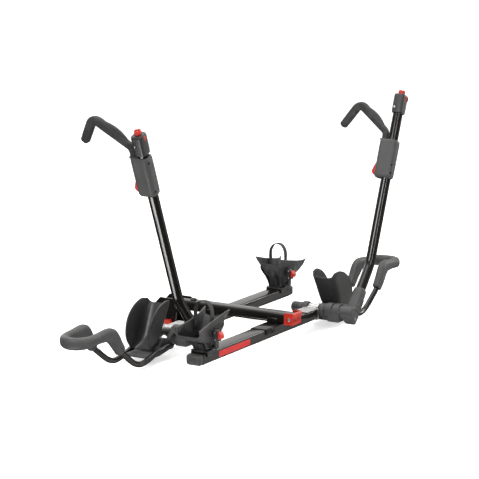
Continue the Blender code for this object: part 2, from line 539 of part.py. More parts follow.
def rear_cradle(tray):
    home = (CRADLE_X, 0, 0)
    slot = box(CRADLE_X - 0.0125, CRADLE_X + 0.0125, -0.060, 0.060, 0.0560, 0.0700)
    tray.piece("cradle", "grey_plastic", trough(CRADLE_FLOOR, CRADLE_RIM, CRADLE_W, 0.0035, CRADLE_X),
               cut=[slot], origin=home)

    # foot: funnel under the trough, with short skirts over the bar
    f, r = np.array(CRADLE_FLOOR), np.array(CRADLE_RIM)
    n = (r - f) / np.linalg.norm(r - f, axis=1)[:, None]
    under = [tuple(p) for p in (f - n * 0.0040 + (CRADLE_X, 0))[1:7]]
    foot = prism([(CRADLE_X - 0.022, GAP)] + under + [(CRADLE_X + 0.024, GAP)], -0.0165, 0.0165)
    a, b, low = BAR_W / 2 + GAP, BAR_W / 2 + 0.0045, -0.011
    outline = [(-b, low), (-b, 0.0070), (b, 0.0070), (b, low), (a, low), (a, GAP), (-a, GAP), (-a, low)]
    skirt = loft([np.array([(x, y, z) for y, z in outline]) for x in (CRADLE_X - 0.026, CRADLE_X + 0.028)])
    tray.piece("cradle_foot", "black_plastic", skirt, add=[foot], origin=home)

    # strap: headed end outside the far wall, over the wheel, out through the near wall
    arch = [(.0440, .0610), (.0410, .0612), (.0405, .0612), (.0350, .0625), (.0285, .0680), (.0265, .0820),
            (.0290, .1080), (.0265, .1300), (.0155, .1465), (.0, .1515), (-.0155, .1465), (-.0265, .1300),
            (-.0290, .1080), (-.0265, .0820), (-.0285, .0690), (-.0350, .0620), (-.0410, .0570),
            (-.0430, .0480)]
    thick = [.0045, .0045] + [.0013] * (len(arch) - 2)
    path = np.array([(CRADLE_X, y, z) for y, z in arch])
    rings = sweep_rings(path, [np.array([(-t, -.0095), (t, -.0095), (t, .0095), (-t, .0095)]) for t in thick],
                        (1, 0, 0))
    tray.piece("strap", "black_rubber", loft(rings), origin=home)

    # buckle that the strap runs into, hung from the foot, with its release tab
    x0, x1 = CRADLE_X - 0.0135, CRADLE_X + 0.0135
    case = prism_x([(-.0385, .036), (-.0385, .066), (-.0450, .074), (-.0520, .070), (-.0540, .040),
                    (-.0490, .032)], x0, x1)
    throat = loft(sweep_rings(np.array([(CRADLE_X, y, z) for y, z in
                                        ((-.0330, .0634), (-.0350, .0620), (-.0410, .0570), (-.0430, .0475),
                                         (-.0431, .0470))]),
                              [np.array([(-.0017, -.0102), (.0017, -.0102), (.0017, .0102),
                                         (-.0017, .0102)])] * 5, (1, 0, 0)))
    stem = box(CRADLE_X - 0.009, CRADLE_X + 0.009, -0.0460, -0.0405, 0.0125, 0.0400)
    bridge = box(CRADLE_X - 0.009, CRADLE_X + 0.009, -0.0430, -0.0168, 0.0120, 0.0170)
    tray.piece("buckle", "black_plastic", case, add=[stem, bridge], cut=[throat], origin=home)
    tab = prism_x([(-.0543, .0440), (-.0535, .0620), (-.0560, .0660), (-.0630, .0560), (-.0640, .0460),
                   (-.0590, .0420)], x0 + 0.003, x1 - 0.003)
    tray.piece("release_tab", "red_plastic", tab, origin=(CRADLE_X, -0.0540, 0.0620))


def build():
    clear_scene()
    hitch()
    spine()
    for name, side, y_bar, slide in (("near", 1, Y_RACK, SLIDE_NEAR), ("far", -1, Y_RACK + BAR_PITCH, SLIDE_FAR)):
        tray = Tray(name, side, y_bar)
        bar(tray)
        arm(tray, slide)
        front_tray(tray)
        rear_cradle(tray)


build()
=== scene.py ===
# %% [markdown]
# # A hitch mounted bike rack, piece by piece
#
# The rack is a spine that plugs into a car, two cross bars, and on each bar a rear wheel cradle and a
# folding tray with a hook arm for the front wheel. The far bar's set is the near bar's set mirrored.
# So every piece below is drawn once, beside one bar, and placed twice.
#
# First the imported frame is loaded. It holds the CAD nodes and the bodies that the pieces move with.

# %% Load the frame
import json
import math

import bpy
import numpy as np
from mathutils import Matrix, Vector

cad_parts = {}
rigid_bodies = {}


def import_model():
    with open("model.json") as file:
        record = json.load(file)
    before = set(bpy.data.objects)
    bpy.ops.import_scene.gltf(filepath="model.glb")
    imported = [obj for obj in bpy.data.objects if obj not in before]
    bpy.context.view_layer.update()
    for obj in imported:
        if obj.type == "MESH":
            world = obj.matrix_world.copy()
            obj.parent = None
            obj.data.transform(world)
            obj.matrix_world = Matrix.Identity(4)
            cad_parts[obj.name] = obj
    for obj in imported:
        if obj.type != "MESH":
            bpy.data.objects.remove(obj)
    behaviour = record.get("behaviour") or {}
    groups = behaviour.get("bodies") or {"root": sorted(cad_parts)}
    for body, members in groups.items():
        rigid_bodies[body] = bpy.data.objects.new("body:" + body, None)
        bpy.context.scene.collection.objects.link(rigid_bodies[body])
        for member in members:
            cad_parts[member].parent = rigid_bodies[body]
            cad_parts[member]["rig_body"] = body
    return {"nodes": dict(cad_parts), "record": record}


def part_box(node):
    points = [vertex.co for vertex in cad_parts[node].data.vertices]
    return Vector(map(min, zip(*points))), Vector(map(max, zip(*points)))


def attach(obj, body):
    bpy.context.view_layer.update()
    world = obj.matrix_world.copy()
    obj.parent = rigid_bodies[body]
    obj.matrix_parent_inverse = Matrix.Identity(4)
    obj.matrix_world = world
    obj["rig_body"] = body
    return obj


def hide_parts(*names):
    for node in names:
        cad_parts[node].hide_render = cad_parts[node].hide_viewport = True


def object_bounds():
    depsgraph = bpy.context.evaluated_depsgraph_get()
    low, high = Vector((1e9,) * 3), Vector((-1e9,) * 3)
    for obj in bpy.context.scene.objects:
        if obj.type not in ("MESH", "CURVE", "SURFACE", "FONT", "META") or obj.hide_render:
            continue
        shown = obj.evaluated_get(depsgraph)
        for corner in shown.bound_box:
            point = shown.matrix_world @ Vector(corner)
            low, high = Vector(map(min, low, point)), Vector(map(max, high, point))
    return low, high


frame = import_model()
cad_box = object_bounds()
SLOT = {part["node"]: part["material_slot"] for part in frame["record"]["subparts"]}
BODY = {node: ob["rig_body"] for node, ob in frame["nodes"].items()}

# %% [markdown]
# ## Curves and sections
#
# Nearly everything here is a section carried along a path. One function rounds a polyline's corners, one runs
# a smooth curve through a few rows of numbers, and two draw sections. Bezier curves traced by hand would do
# too, but the same rows then serve both sides of the rack.


# %% Paths
def mm(rows):
    """Rows of millimetres as metres: each number divided by a thousand."""
    return np.asarray(rows, float) / 1000


def unit(v):
    """Vectors divided by their own lengths."""
    return v / np.linalg.norm(v, axis=-1, keepdims=True)


def spline(rows, n):
    """Catmull-Rom curve: each span is a cubic whose slope at a row is half the step between its neighbours."""
    rows = np.asarray(rows, float)
    ext = np.concatenate([2 * rows[:1] - rows[1:2], rows, 2 * rows[-1:] - rows[-2:-1]])
    t = np.linspace(0, len(rows) - 1, n)
    i = np.minimum(t.astype(int), len(rows) - 2)
    f = (t - i).reshape((-1,) + (1,) * (rows.ndim - 1))
    a, b, c, d = (ext[i + k] for k in range(4))
    return b + 0.5 * f * (c - a + f * (2 * a - 5 * b + 4 * c - d + f * (3 * (b - c) + d - a)))


def rounded(points, radius, n=6, closed=False):
    """Polyline whose corners become parabolas: each starts and ends where a circle of that radius would touch."""
    p = np.asarray(points, float)
    prev, nxt = (np.roll(p, 1, 0), np.roll(p, -1, 0)) if closed else (p[:-2], p[2:])
    mid = p if closed else p[1:-1]
    a, b = prev - mid, nxt - mid
    la, lb = (np.linalg.norm(v, axis=1, keepdims=True) for v in (a, b))
    half = np.arccos(np.clip((a * b).sum(1, keepdims=True) / la / lb, -0.9999, 0.9999)) / 2
    cut = np.minimum(radius / np.tan(half), 0.49 * np.minimum(la, lb))
    s = np.linspace(0, 1, n)[:, None, None]
    arc = (1 - s) ** 2 * (mid + a / la * cut) + 2 * s * (1 - s) * mid + s ** 2 * (mid + b / lb * cut)
    arc = arc.transpose(1, 0, 2).reshape(-1, p.shape[1])
    return arc if closed else np.concatenate([p[:1], arc, p[-1:]])


def length_run(path):
    """Length from the path's start to each point: the sum of the steps before it."""
    return np.concatenate([[0], np.cumsum(np.linalg.norm(np.diff(path, axis=0), axis=1))])


def even(path, n):
    """The same path with n points, evenly spaced by the length run along it."""
    run = length_run(path)
    at = np.linspace(0, run[-1], n)
    return np.stack([np.interp(at, run, path[:, k]) for k in range(path.shape[1])], 1)


print("a square rounded with 6 points a corner has", len(rounded([(0, 0), (1, 0), (1, 1), (0, 1)], .2, 6, True)))


# %% Sections
def oval(a, b, n=40, power=2.0):
    """Superellipse with half widths a and b: |x/a|^power + |y/b|^power = 1. Power 2 is an ellipse, 4 a soft box."""
    t = np.arange(n) * 2 * np.pi / n
    c, s = np.cos(t), np.sin(t)
    return np.stack([a * np.sign(c) * abs(c) ** (2 / power), b * np.sign(s) * abs(s) ** (2 / power)], -1)


def box_section(w, h, r, n=6):
    """Rectangle w by h: a quarter circle of radius r about each inset corner."""
    a = np.linspace(0, np.pi / 2, n) + np.arange(4)[:, None] * np.pi / 2
    centre = np.array([(1, 1), (-1, 1), (-1, -1), (1, -1)]) * (w / 2 - r, h / 2 - r)
    return (centre[:, None] + r * np.stack([np.cos(a), np.sin(a)], -1)).reshape(-1, 2)


def boxes(rows, n=6):
    """One rounded rectangle a row, from its width, height and corner radius."""
    return np.stack([box_section(*row, n) for row in rows])


def set_at(at, rings, axis):
    """Flat rings moved along an axis; their own two numbers become the other two."""
    i = "xyz".index(axis)
    w = np.broadcast_to(np.asarray(at)[:, None, None], rings.shape[:2] + (1,))
    return np.concatenate([rings[..., :i], w, rings[..., i:]], -1)


def quarter(n=5):
    """Steps round a quarter circle as (along, inset): 1 - cos and 1 - sin of the angle."""
    t = np.linspace(0, np.pi / 2, n)
    return 1 - np.cos(t), 1 - np.sin(t)


print("a 50 x 32 mm bar's section has", len(box_section(.05, .032, .005)), "points")

# %% [markdown]
# ## Closed shells
#
# A grid of points becomes a shell when neighbouring rows are joined with quads and its two ends are closed.
# Faces that point inwards shade wrongly, so the volume is measured and a negative one is turned round.
# Recalculated normals would do too, but thin walls can fool them.


# %% Shell builder
def shell(grid, loop=False):
    """Rows of closed rings joined by quads; loop joins the last row to the first, else both ends get a cap."""
    m, k = grid.shape[:2]
    i, j = np.arange(m if loop else m - 1)[:, None], np.arange(k)[None]
    i2, j2 = (i + 1) % m, (j + 1) % k
    quads = np.stack([i * k + j, i * k + j2, i2 * k + j2, i2 * k + j], -1).reshape(-1, 4)
    caps = [] if loop else [np.arange(k)[::-1], (m - 1) * k + np.arange(k)]
    points = grid.reshape(-1, 3)
    fans = [np.stack([np.full(k - 2, c[0]), c[1:-1], c[2:]], 1) for c in caps]
    tris = np.concatenate([quads[:, :3], quads[:, [0, 2, 3]]] + fans)
    a, b, c = (points[tris[:, q]] - points.mean(0) for q in range(3))
    if np.einsum("ij,ij->i", a, np.cross(b, c)).sum() < 0:
        quads, caps = quads[:, ::-1], [c[::-1] for c in caps]
    return points, quads, caps


def carry(path, section, up):
    """Point + across * u + second * v, where t is the path's direction, u = up x t and v = t x u."""
    path = np.asarray(path, float)
    t = unit(np.gradient(path, axis=0))
    u = unit(np.cross(np.broadcast_to(np.asarray(up, float), path.shape), t))
    v = np.cross(t, u)
    s = np.broadcast_to(section, (len(path),) + np.shape(section)[-2:])
    return path[:, None] + s[..., :1] * u[:, None] + s[..., 1:] * v[:, None]


def turned(start, direction, profile, n=40, lobes=0, depth=0.0):
    """Rows of (distance, radius) turned about an axis; radius swells by depth * cos(lobes * angle)."""
    d = unit(np.asarray(direction, float))
    u = unit(np.cross((0, 0, 1) if abs(d[2]) < 0.9 else (0, 1, 0), d))
    v = np.cross(d, u)
    a = np.arange(n) * 2 * np.pi / n
    prof = np.asarray(profile, float)
    r = prof[:, 1:] + depth * np.cos(lobes * a) * (prof[:, 1:] > 0.6 * prof[:, 1].max())
    ring = np.cos(a)[:, None] * u + np.sin(a)[:, None] * v
    return shell(np.asarray(start, float) + prof[:, :1, None] * d + r[..., None] * ring)


def tube(path, radius, wall, up, n=40):
    """Hollow round tube: the path's outer rings forwards, then its inner rings backwards."""
    o, i = (carry(path, oval(r, r, n), up) for r in (radius, radius - wall))
    return shell(np.concatenate([o, i[::-1]]), loop=True)


def slab(outline, lo, hi, edge, axis="y", n=4):
    """Closed outline pushed from lo to hi with its two rims rounded: rings step in by edge along their normals."""
    p = np.asarray(outline, float)
    t = np.roll(p, -1, 0) - np.roll(p, 1, 0)
    area = (p[:, 0] * np.roll(p[:, 1], -1) - p[:, 1] * np.roll(p[:, 0], -1)).sum()
    nrm = unit(np.stack([t[:, 1], -t[:, 0]], 1)) * np.sign(area)
    along, inset = quarter(n)
    depth = np.concatenate([lo + edge * along, hi - edge * along[::-1]])
    ring = p - (np.concatenate([inset, inset[::-1]]) * edge)[:, None, None] * nrm
    return shell(set_at(depth, ring, axis))


def block(lo, hi, edge):
    """Box between two corners with its edges rounded by that much."""
    (x0, y0, z0), (x1, y1, z1) = lo, hi
    ring = box_section(x1 - x0, z1 - z0, 2 * edge, 4) + ((x0 + x1) / 2, (z0 + z1) / 2)
    return slab(ring, y0, y1, edge)


print("a turned button has", len(turned((0, 0, 0), (0, 0, 1), [(0, .01), (.01, .008)])[0]), "points")

# %% [markdown]
# ## Shader sums as Python
#
# Materials are node graphs. A socket is wrapped in a small class whose +, -, * and / add Math nodes, and any
# other node comes from one method. The graph is the same as one wired by hand in the Shader Editor.


# %% Socket wrapper
class Wire:
    """One output socket; sums on it add Math nodes."""

    def __init__(self, finish, socket):
        self.finish, self.socket = finish, socket

    def sum(self, operation, a, b):
        return self.finish.node("ShaderNodeMath", {"operation": operation}, {0: a, 1: b})

    def __add__(self, other): return self.sum("ADD", self, other)
    def __radd__(self, other): return self.sum("ADD", other, self)
    def __sub__(self, other): return self.sum("SUBTRACT", self, other)
    def __rsub__(self, other): return self.sum("SUBTRACT", other, self)
    def __mul__(self, other): return self.sum("MULTIPLY", self, other)
    def __rmul__(self, other): return self.sum("MULTIPLY", other, self)
    def __truediv__(self, other): return self.sum("DIVIDE", self, other)
    def __abs__(self): return self.sum("ABSOLUTE", self, 0.0)


class Finish:
    """A material with one Principled shader and short ways to add nodes in front of it."""

    def __init__(self, name, **plain):
        self.mat = bpy.data.materials.new(name)
        self.mat.use_nodes = True
        self.tree = self.mat.node_tree
        self.shader = self.tree.nodes["Principled BSDF"]
        self.place = self.node("ShaderNodeTexCoord", {}, {}, "Object")
        self.set(**plain)

    def node(self, kind, settings, sockets, out=0):
        """Adds a node, sets its settings, then gives its sockets values or links, and returns one output."""
        n = self.tree.nodes.new(kind)
        for key, value in settings.items():
            setattr(n, key, value)
        for key, value in sockets.items():
            if isinstance(value, Wire):
                self.tree.links.new(value.socket, n.inputs[key])
            else:
                n.inputs[key].default_value = value
        return Wire(self, n.outputs[out])

    def set(self, **sockets):
        for key, value in sockets.items():
            socket = self.shader.inputs[key.replace("_", " ")]
            if isinstance(value, Wire):
                self.tree.links.new(value.socket, socket)
            else:
                socket.default_value = value

    def stretch(self, scale, turn=(0, 0, 0)):
        """The place, scaled by three numbers, for a pattern that runs one way."""
        return self.node("ShaderNodeMapping", {}, {"Vector": self.place, "Scale": scale, "Rotation": turn})

    def cloud(self, scale, detail=3.0, place=None):
        """Noise from 0 to 1; scale is in features to the metre."""
        return self.node("ShaderNodeTexNoise", {}, {"Vector": place or self.place, "Scale": scale, "Detail": detail})

    def level(self, value, lo, hi, to_lo=0.0, to_hi=1.0):
        """Value carried from lo..hi to to_lo..to_hi, and held there."""
        return self.node("ShaderNodeMapRange", {}, {0: value, 1: lo, 2: hi, 3: to_lo, 4: to_hi})

    def mix(self, mask, a, b):
        """Colour a where the mask is 0 and b where it is 1."""
        return self.node("ShaderNodeMix", {"data_type": "RGBA"}, {0: mask, 6: a, 7: b}, 2)

    def relief(self, height, distance, strength=1.0, over=None):
        """Bump from a height of 0 to 1, that many metres deep, on top of another bump."""
        sockets = {"Height": height, "Distance": distance, "Strength": strength}
        if over:
            sockets["Normal"] = over
        return self.node("ShaderNodeBump", {}, sockets)


def shade(v, warm=0.0):
    """Grey of one value, a little warmer or cooler."""
    return (v * (1 + warm), v, v * (1 - warm), 1.0)


print("socket wrapper ready")

# %% [markdown]
# ## Finishes
#
# Six finishes repeat all over the rack. Each has a base colour and a roughness that drift a little, and a fine
# relief: orange peel in the coat, spark-eroded grain in the plastics, drawn lines in the zinc.


# %% Painted and moulded finishes
def coat(name, value=0.005, rough=0.11, peel=0.00002):
    """Powder coat: dark and glossy, with orange peel a millimetre or two across and faint rubbed patches."""
    f = Finish(name, Specular_IOR_Level=0.42)
    patch, fine = f.cloud(9, 4), f.cloud(420, 2)
    rub = f.level(f.cloud(60, 5, f.stretch((1, 1, 6))), 0.58, 0.74)
    f.set(Base_Color=f.mix(patch * 0.6 + rub * 0.4, shade(value, .14), shade(value * 2.2, .12)),
        Roughness=rough + 0.07 * patch + 0.12 * rub, Normal=f.relief(fine, peel, 0.35))
    return f.mat


def moulded(name, value, rough, grain=1400, depth=0.00012, warm=0.0):
    """Moulded plastic: a sand-like grain of small cells under soft flow marks, a little paler where it is rubbed."""
    f = Finish(name, Specular_IOR_Level=0.45)
    flow, soft = f.cloud(14, 3), f.cloud(120, 3)
    cells = f.node("ShaderNodeTexVoronoi", {"feature": "SMOOTH_F1"}, {"Vector": f.place, "Scale": grain}, "Distance")
    rub = f.level(f.cloud(38, 6), 0.60, 0.74)
    tone = f.level(flow, .3, .7) * 0.7 + f.level(cells, 0, .8) * 0.3
    f.set(Base_Color=f.mix(rub * 0.35, f.mix(tone, shade(value * .82, warm), shade(value * 1.2, warm)),
        shade(value * 1.7, warm)),
        Roughness=rough + 0.1 * soft - 0.08 * rub,
        Normal=f.relief(cells, depth, 0.6, f.relief(soft, 0.0004, 0.25)))
    return f.mat


def red_moulded(name):
    """Orange-red plastic: near even colour, slightly deeper in patches, satin, with a fine grain."""
    f = Finish(name, Specular_IOR_Level=0.35)
    flow, fine = f.cloud(45, 3), f.cloud(1600, 2)
    f.set(Base_Color=f.mix(f.level(flow, .35, .7), (0.47, 0.026, 0.013, 1), (0.36, 0.016, 0.009, 1)),
        Roughness=0.3 + 0.16 * flow, Normal=f.relief(fine, 0.00006, 0.5))
    return f.mat


def rubber(name, value=0.022, rough=0.62):
    """Rubber: matt and dark, dusty in patches, with a close stipple."""
    f = Finish(name, Specular_IOR_Level=0.4)
    dust, stipple = f.cloud(32, 5), f.node("ShaderNodeTexVoronoi", {}, {"Vector": f.place, "Scale": 900}, "Distance")
    f.set(Base_Color=f.mix(f.level(dust, .45, .75), shade(value), shade(value * 2.0, .02)),
        Roughness=rough + 0.14 * dust, Normal=f.relief(stipple, 0.00014, 0.5))
    return f.mat


def zinc(name, value=0.55, rough=0.26):
    """Zinc plate: metal with spangles of slightly different grey and fine drawn lines."""
    f = Finish(name, Metallic=1.0)
    spangle = f.node("ShaderNodeTexVoronoi", {}, {"Vector": f.place, "Scale": 260}, "Color")
    grey = f.node("ShaderNodeSeparateColor", {}, {0: spangle})
    lines = f.cloud(90, 3, f.stretch((1, 14, 14)))
    f.set(Base_Color=f.mix(grey, shade(value * .8), shade(value * 1.15, .01)),
        Roughness=rough + 0.18 * lines + 0.08 * grey, Normal=f.relief(lines, 0.00008, 0.5))
    return f.mat


FINISH = {"black_paint": coat("gloss black powder coat"),
    "grey_plastic": moulded("charcoal moulded plastic", .047, .44),
    "black_plastic": moulded("black moulded plastic", .026, .30, 1800, .00008),
    "red_plastic": red_moulded("orange red plastic"), "zinc_steel": zinc("zinc plated steel"),
    "black_rubber": rubber("matt black rubber")}
print(len(FINISH), "finishes")

# %% [markdown]
# ## Making a piece
#
# A piece is one or more closed shells in one mesh. It takes the body, slot and finish of the CAD node it stands
# for. Holes are cut with an exact boolean, which leaves crisp rims that a displaced grid would blur. Weighted
# normals then keep the flats beside a cut flat.


# %% Mesh and piece
def mesh_of(name, shells):
    """One mesh from several shells: points end to end, each shell's faces shifted by the points before it."""
    shift = np.cumsum([0] + [len(s[0]) for s in shells[:-1]])
    faces = [q + k for (_, q, _), k in zip(shells, shift)]
    caps = [c + k for (_, _, cs), k in zip(shells, shift) for c in cs]
    quads = np.concatenate(faces)
    corners = np.concatenate([quads.ravel()] + caps)
    sizes = np.array([4] * len(quads) + [len(c) for c in caps])
    points = np.concatenate([s[0] for s in shells])
    mesh = bpy.data.meshes.new(name)
    mesh.vertices.add(len(points))
    mesh.vertices.foreach_set("co", points.astype(np.float32).ravel())
    mesh.loops.add(len(corners))
    mesh.loops.foreach_set("vertex_index", corners.astype(np.int32))
    mesh.polygons.add(len(sizes))
    mesh.polygons.foreach_set("loop_start", (np.cumsum(sizes) - sizes).astype(np.int32))
    mesh.update(calc_edges=True)
    return mesh


def new_object(name, mesh):
    ob = bpy.data.objects.new(name, mesh)
    bpy.context.scene.collection.objects.link(ob)
    return ob


def carve(ob, cutters):
    """Cuts closed shells out of an object with an exact boolean and keeps the result as plain mesh."""
    tool = new_object("cutter", mesh_of("cutter", cutters))
    cut = ob.modifiers.new("cut", "BOOLEAN")
    cut.object, cut.operation, cut.solver, cut.use_self = tool, "DIFFERENCE", "EXACT", True
    done = bpy.data.meshes.new_from_object(ob.evaluated_get(bpy.context.evaluated_depsgraph_get()))
    ob.modifiers.clear()
    ob.data = done
    bpy.data.objects.remove(tool)


def piece(name, shells, nodes=(), finish=None, body=None, slot=None, cut=(), smooth=32):
    """A visible piece that stands for CAD nodes, or a small extra on a body."""
    ob = new_object(name, mesh_of(name, shells))
    if cut:
        carve(ob, list(cut))
    slot = slot or SLOT[nodes[0]]
    ob.data.materials.clear()
    ob.data.materials.append(finish or FINISH[slot])
    ob.data.shade_smooth()
    ob.data.set_sharp_from_angle(angle=math.radians(smooth))
    if cut:
        ob.modifiers.new("normals", "WEIGHTED_NORMAL").keep_sharp = True
    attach(ob, body or BODY[nodes[0]])
    if nodes:
        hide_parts(*nodes)
    return ob


class Side:
    """Points drawn beside one bar: x along it, y from its middle, z from its top face. Sign -1 mirrors x."""

    def __init__(self, name, sign):
        lo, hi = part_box(name + "_bar")
        self.name, self.sign, self.y, self.z = name, sign, (lo.y + hi.y) / 2, hi.z
        self.x0, self.x1 = sorted((sign * lo.x, sign * hi.x))

    def put(self, shells):
        """Shells moved beside this bar; a mirrored shell has its faces turned round."""
        s = self.sign
        return [(p * (s, 1, 1) + (0, self.y, self.z), q[:, ::s], [c[::s] for c in cs]) for p, q, cs in shells]

    def make(self, what, shells, stands=True, cut=(), **more):
        """One of this side's pieces, named after its CAD node, or an extra one."""
        name = self.name + "_" + what
        if "body" in more:
            more["body"] = self.name + "_" + more["body"] if more["body"] != "frame" else "frame"
        return piece("visual_" + name, self.put(shells), (name,) if stands else (), cut=self.put(cut), **more)


SIDES = (Side("near", 1), Side("far", -1))
print("bars run from %.3f to %.3f m" % (SIDES[0].x0, SIDES[0].x1))

# %% [markdown]
# ## Bars, spine and saddles
#
# The bars are rectangular steel tube. A wall is one closed loop of rings: out along the outside, then back along
# the inside. Lips rounded by less than a millimetre make a sawn and coated tube look thick.


# %% Rectangular tubes
def square_tube(along, lo, hi, w, h, r, wall, centre):
    """Ring loop: outside inset 0, inside inset by the wall, each lip turned over half a millimetre."""
    lip = 0.0005
    rows = np.array([(lo + lip, 0), (lo, lip), (lo, wall - lip), (lo + lip, wall),
        (hi - lip, wall), (hi, wall - lip), (hi, lip), (hi - lip, 0)])
    rings = np.stack([box_section(w - 2 * i, h - 2 * i, max(r - i, .0012)) for i in rows[:, 1]])
    return shell(set_at(rows[:, 0], rings + centre, along), loop=True)


BAR_W, BAR_H = 0.050, 0.032
for side in SIDES:
    side.make("bar", [square_tube("x", side.x0, side.x1, BAR_W, BAR_H, .005, .0025, (0, -BAR_H / 2))])
    d, inset = mm([(18, 3.2), (-.3, 3.2), (-.4, 1), (-1.2, .2), (-2.2, 0), (-2.4, .9), (-3.2, .9), (-3.4, -.3),
        (-12, -.4), (-16, .6), (-19, 2.4), (-21, 5.2), (-21.8, 9), (-22, 13)]).T
    cap = np.stack([box_section(BAR_W - 2 * i, BAR_H - 2 * i, max(.0085 - i, .002)) for i in inset])
    side.make("bar_cap", [shell(set_at(side.x0 + d, cap - (0, BAR_H / 2), "x"))], smooth=50)
print("bar", BAR_W, BAR_H)

# %% [markdown]
# The spine is the same kind of tube with rounder shoulders. Two folded saddles carry it, one on each bar: a
# strip bent down both sides, as it would come off a press brake, with clamp plates against the spine.

# %% Spine and saddles
near = SIDES[0]
SPINE_Z = 0.0025
spine_lo, spine_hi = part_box("spine")
y0, y1 = spine_lo.y - near.y, spine_hi.y - near.y
SPINE = (0.049, BAR_H, 0.0095)
piece("visual_spine", near.put([square_tube("y", y0, y1, *SPINE, .0028, (0, SPINE_Z + BAR_H / 2))]), ("spine",))
button = mm([(-5, 4), (.3, 4), (.4, 10), (1.2, 10.7), (3.5, 10), (5.5, 8), (6.8, 4.5), (6.9, 3.6), (5, 3), (4.9, .4)])
piece("visual_spine_bolt", near.put([turned((0, .306, SPINE_Z + BAR_H), (0, 0, 1), button)]), ("spine_bolt",))

for side in SIDES:
    lo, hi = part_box(side.name + "_saddle")
    x0, x1 = sorted((side.sign * lo.x, side.sign * hi.x))
    a, low, t = BAR_W / 2 + .0003, -.0160, .0026
    fold = rounded([(-a - t / 2, low), (-a - t / 2, .0003 + t / 2 - .0004), (a + t / 2, .0003 + t / 2 - .0004),
        (a + t / 2, low)], .0042, 6)
    path = np.stack([np.zeros(len(fold)), fold[:, 0], fold[:, 1]], 1)
    strip = box_section(t - .0006, x1 - x0, .0009, 3) + (0, (x0 + x1) / 2)
    plate = shell(carry(path, strip, (-1, 0, 0)))
    ears = [block((x, -.0170, .0015), (x + .0046, .0190, .0190), .0012) for x in (-.0300, .0254)]
    side.make("saddle", [plate] + ears, smooth=40)
    head = mm([(-10, 3.3), (0, 3.4), (.1, 6.8), (.9, 7.4), (2.6, 7.2), (4.2, 6), (5, 4), (5, 3.2), (3.4, 2.7),
        (3.3, .4)])
    for tag, x in (("a", -.077), ("b", .077)):
        side.make("saddle_bolt_" + tag, [turned((x * side.sign, -a - .0030, -.008), (0, -1, 0), head, 36)])
print("saddle strip is", round(x1 - x0, 3), "m long")

# %% [markdown]
# ## Hitch end
#
# A steel shank slides into the car. Two plates hold the spine's pivot, and a red knob low on the side draws
# everything tight. The plates' CAD shape is right, so they keep it and only take the coat.

# %% Shank, plates, pivot, knob
SHANK = .0508
lo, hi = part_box("tongue")
rows = np.array([(hi.y - .0040, .0250), (hi.y - .0040, .0048), (lo.y + .0006, .0040), (lo.y, .0034), (lo.y, .0006),
    (lo.y + .0006, 0), (hi.y - .0012, 0), (hi.y - .0003, .0005), (hi.y, .0014), (hi.y, .0250)])
rings = np.stack([box_section(SHANK - 2 * i, SHANK - 2 * i, max(.0055 - i, .0002)) for i in rows[:, 1]])
shank = shell(set_at(rows[:, 0], rings, "y"))
pin_hole = turned((-.05, -.052, 0), (1, 0, 0), [(0, .008), (.1, .008)])
piece("visual_tongue", [shank], ("tongue",), cut=[pin_hole])
for node in ("hitch_bracket", "latch_rod"):
    frame["nodes"][node].material_slots[0].material = FINISH[SLOT[node]]
lo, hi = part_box("pivot_bolt")
e, pivot = hi.x - .0083, (0, (lo.y + hi.y) / 2, (lo.z + hi.z) / 2)
bolt = [(-e - .0075, .0085), (-e - .0068, .0100), (-e - .0009, .0105), (-e - .0003, .0100), (-e - .0002, .006),
    (e + .0002, .006), (e + .0003, .0095), (e + .0070, .0095), (e + .0080, .0085), (e + .0081, .0050),
    (e + .0060, .0042), (e + .0059, .0004)]
piece("visual_pivot_bolt", [turned(pivot, (1, 0, 0), bolt, 48, 6, .0004)], ("pivot_bolt",))
lo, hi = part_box("hitch_knob")
knob_at = (lo.x, (lo.y + hi.y) / 2, (lo.z + hi.z) / 2)
knob = [(0, .0080), (.0004, .0110), (.0018, .0138), (.0040, .0146), (.0160, .0146), (.0185, .0138), (.0198, .0115),
    (.0200, .0065), (.0206, .0052), (hi.x - lo.x - .0002, .0050)]
piece("visual_hitch_knob", [turned(knob_at, (1, 0, 0), knob, 96, 6, .0014)], ("hitch_knob",))
print("pivot at", [round(v, 4) for v in pivot])

# %% [markdown]
# ## Release handle
#
# The red handle is squeezed to let the rack tilt. It is a grip across the spine's end with a cheek down each
# side, on a cross pin. Slabs with softened rims are enough, and the finger ribs are slabs too.

# %% Handle and pin
nose = mm([(-70, 39.5), (-74.5, 35), (-70.8, 24), (-69, 1)])
cheek = rounded(np.concatenate([mm([(-41, 1), (-41, 37.2), (-50, 39.5)]), nose]), .0030, 6, True)
grip = rounded(np.concatenate([mm([(-68.3, 1.2), (-68.3, 39.2)]), nose]), .0016, 6, True)
ribs = [slab(rounded([(y, z), (y + .0028, z), (y + .0028, z + .0022), (y, z + .0022)], .0008, 4, True),
    -.0225, .0225, .0008, "x") for y, z in zip((-.0722, -.0719, -.0714, -.0708), (.0122, .0168, .0214, .0260))]
eye = mm([(-.6, 9.2), (.4, 9), (1, 8.2), (1.1, 6.6), (-.6, 6.4)])
bosses = [turned((s * .0288, -.059, .0185), (s, 0, 0), eye, 40) for s in (-1, 1)]
piece("visual_tilt_lever", near.put([slab(grip, -.0287, .0287, .0016, "x"), slab(cheek, -.0290, -.0249, .0011, "x"),
    slab(cheek, .0249, .0290, .0011, "x")] + ribs + bosses),
    ("tilt_lever",), cut=near.put([turned((-.05, -.059, .0185), (1, 0, 0), [(0, .0033), (.1, .0033)], 32)]))
rivet = mm([(30.8, 1.2), (31.2, 3), (31, 4.4), (30.3, 5.6), (29.4, 5.9), (29.3, 3)])
rivet = np.concatenate([rivet * (-1, 1), rivet[::-1]])
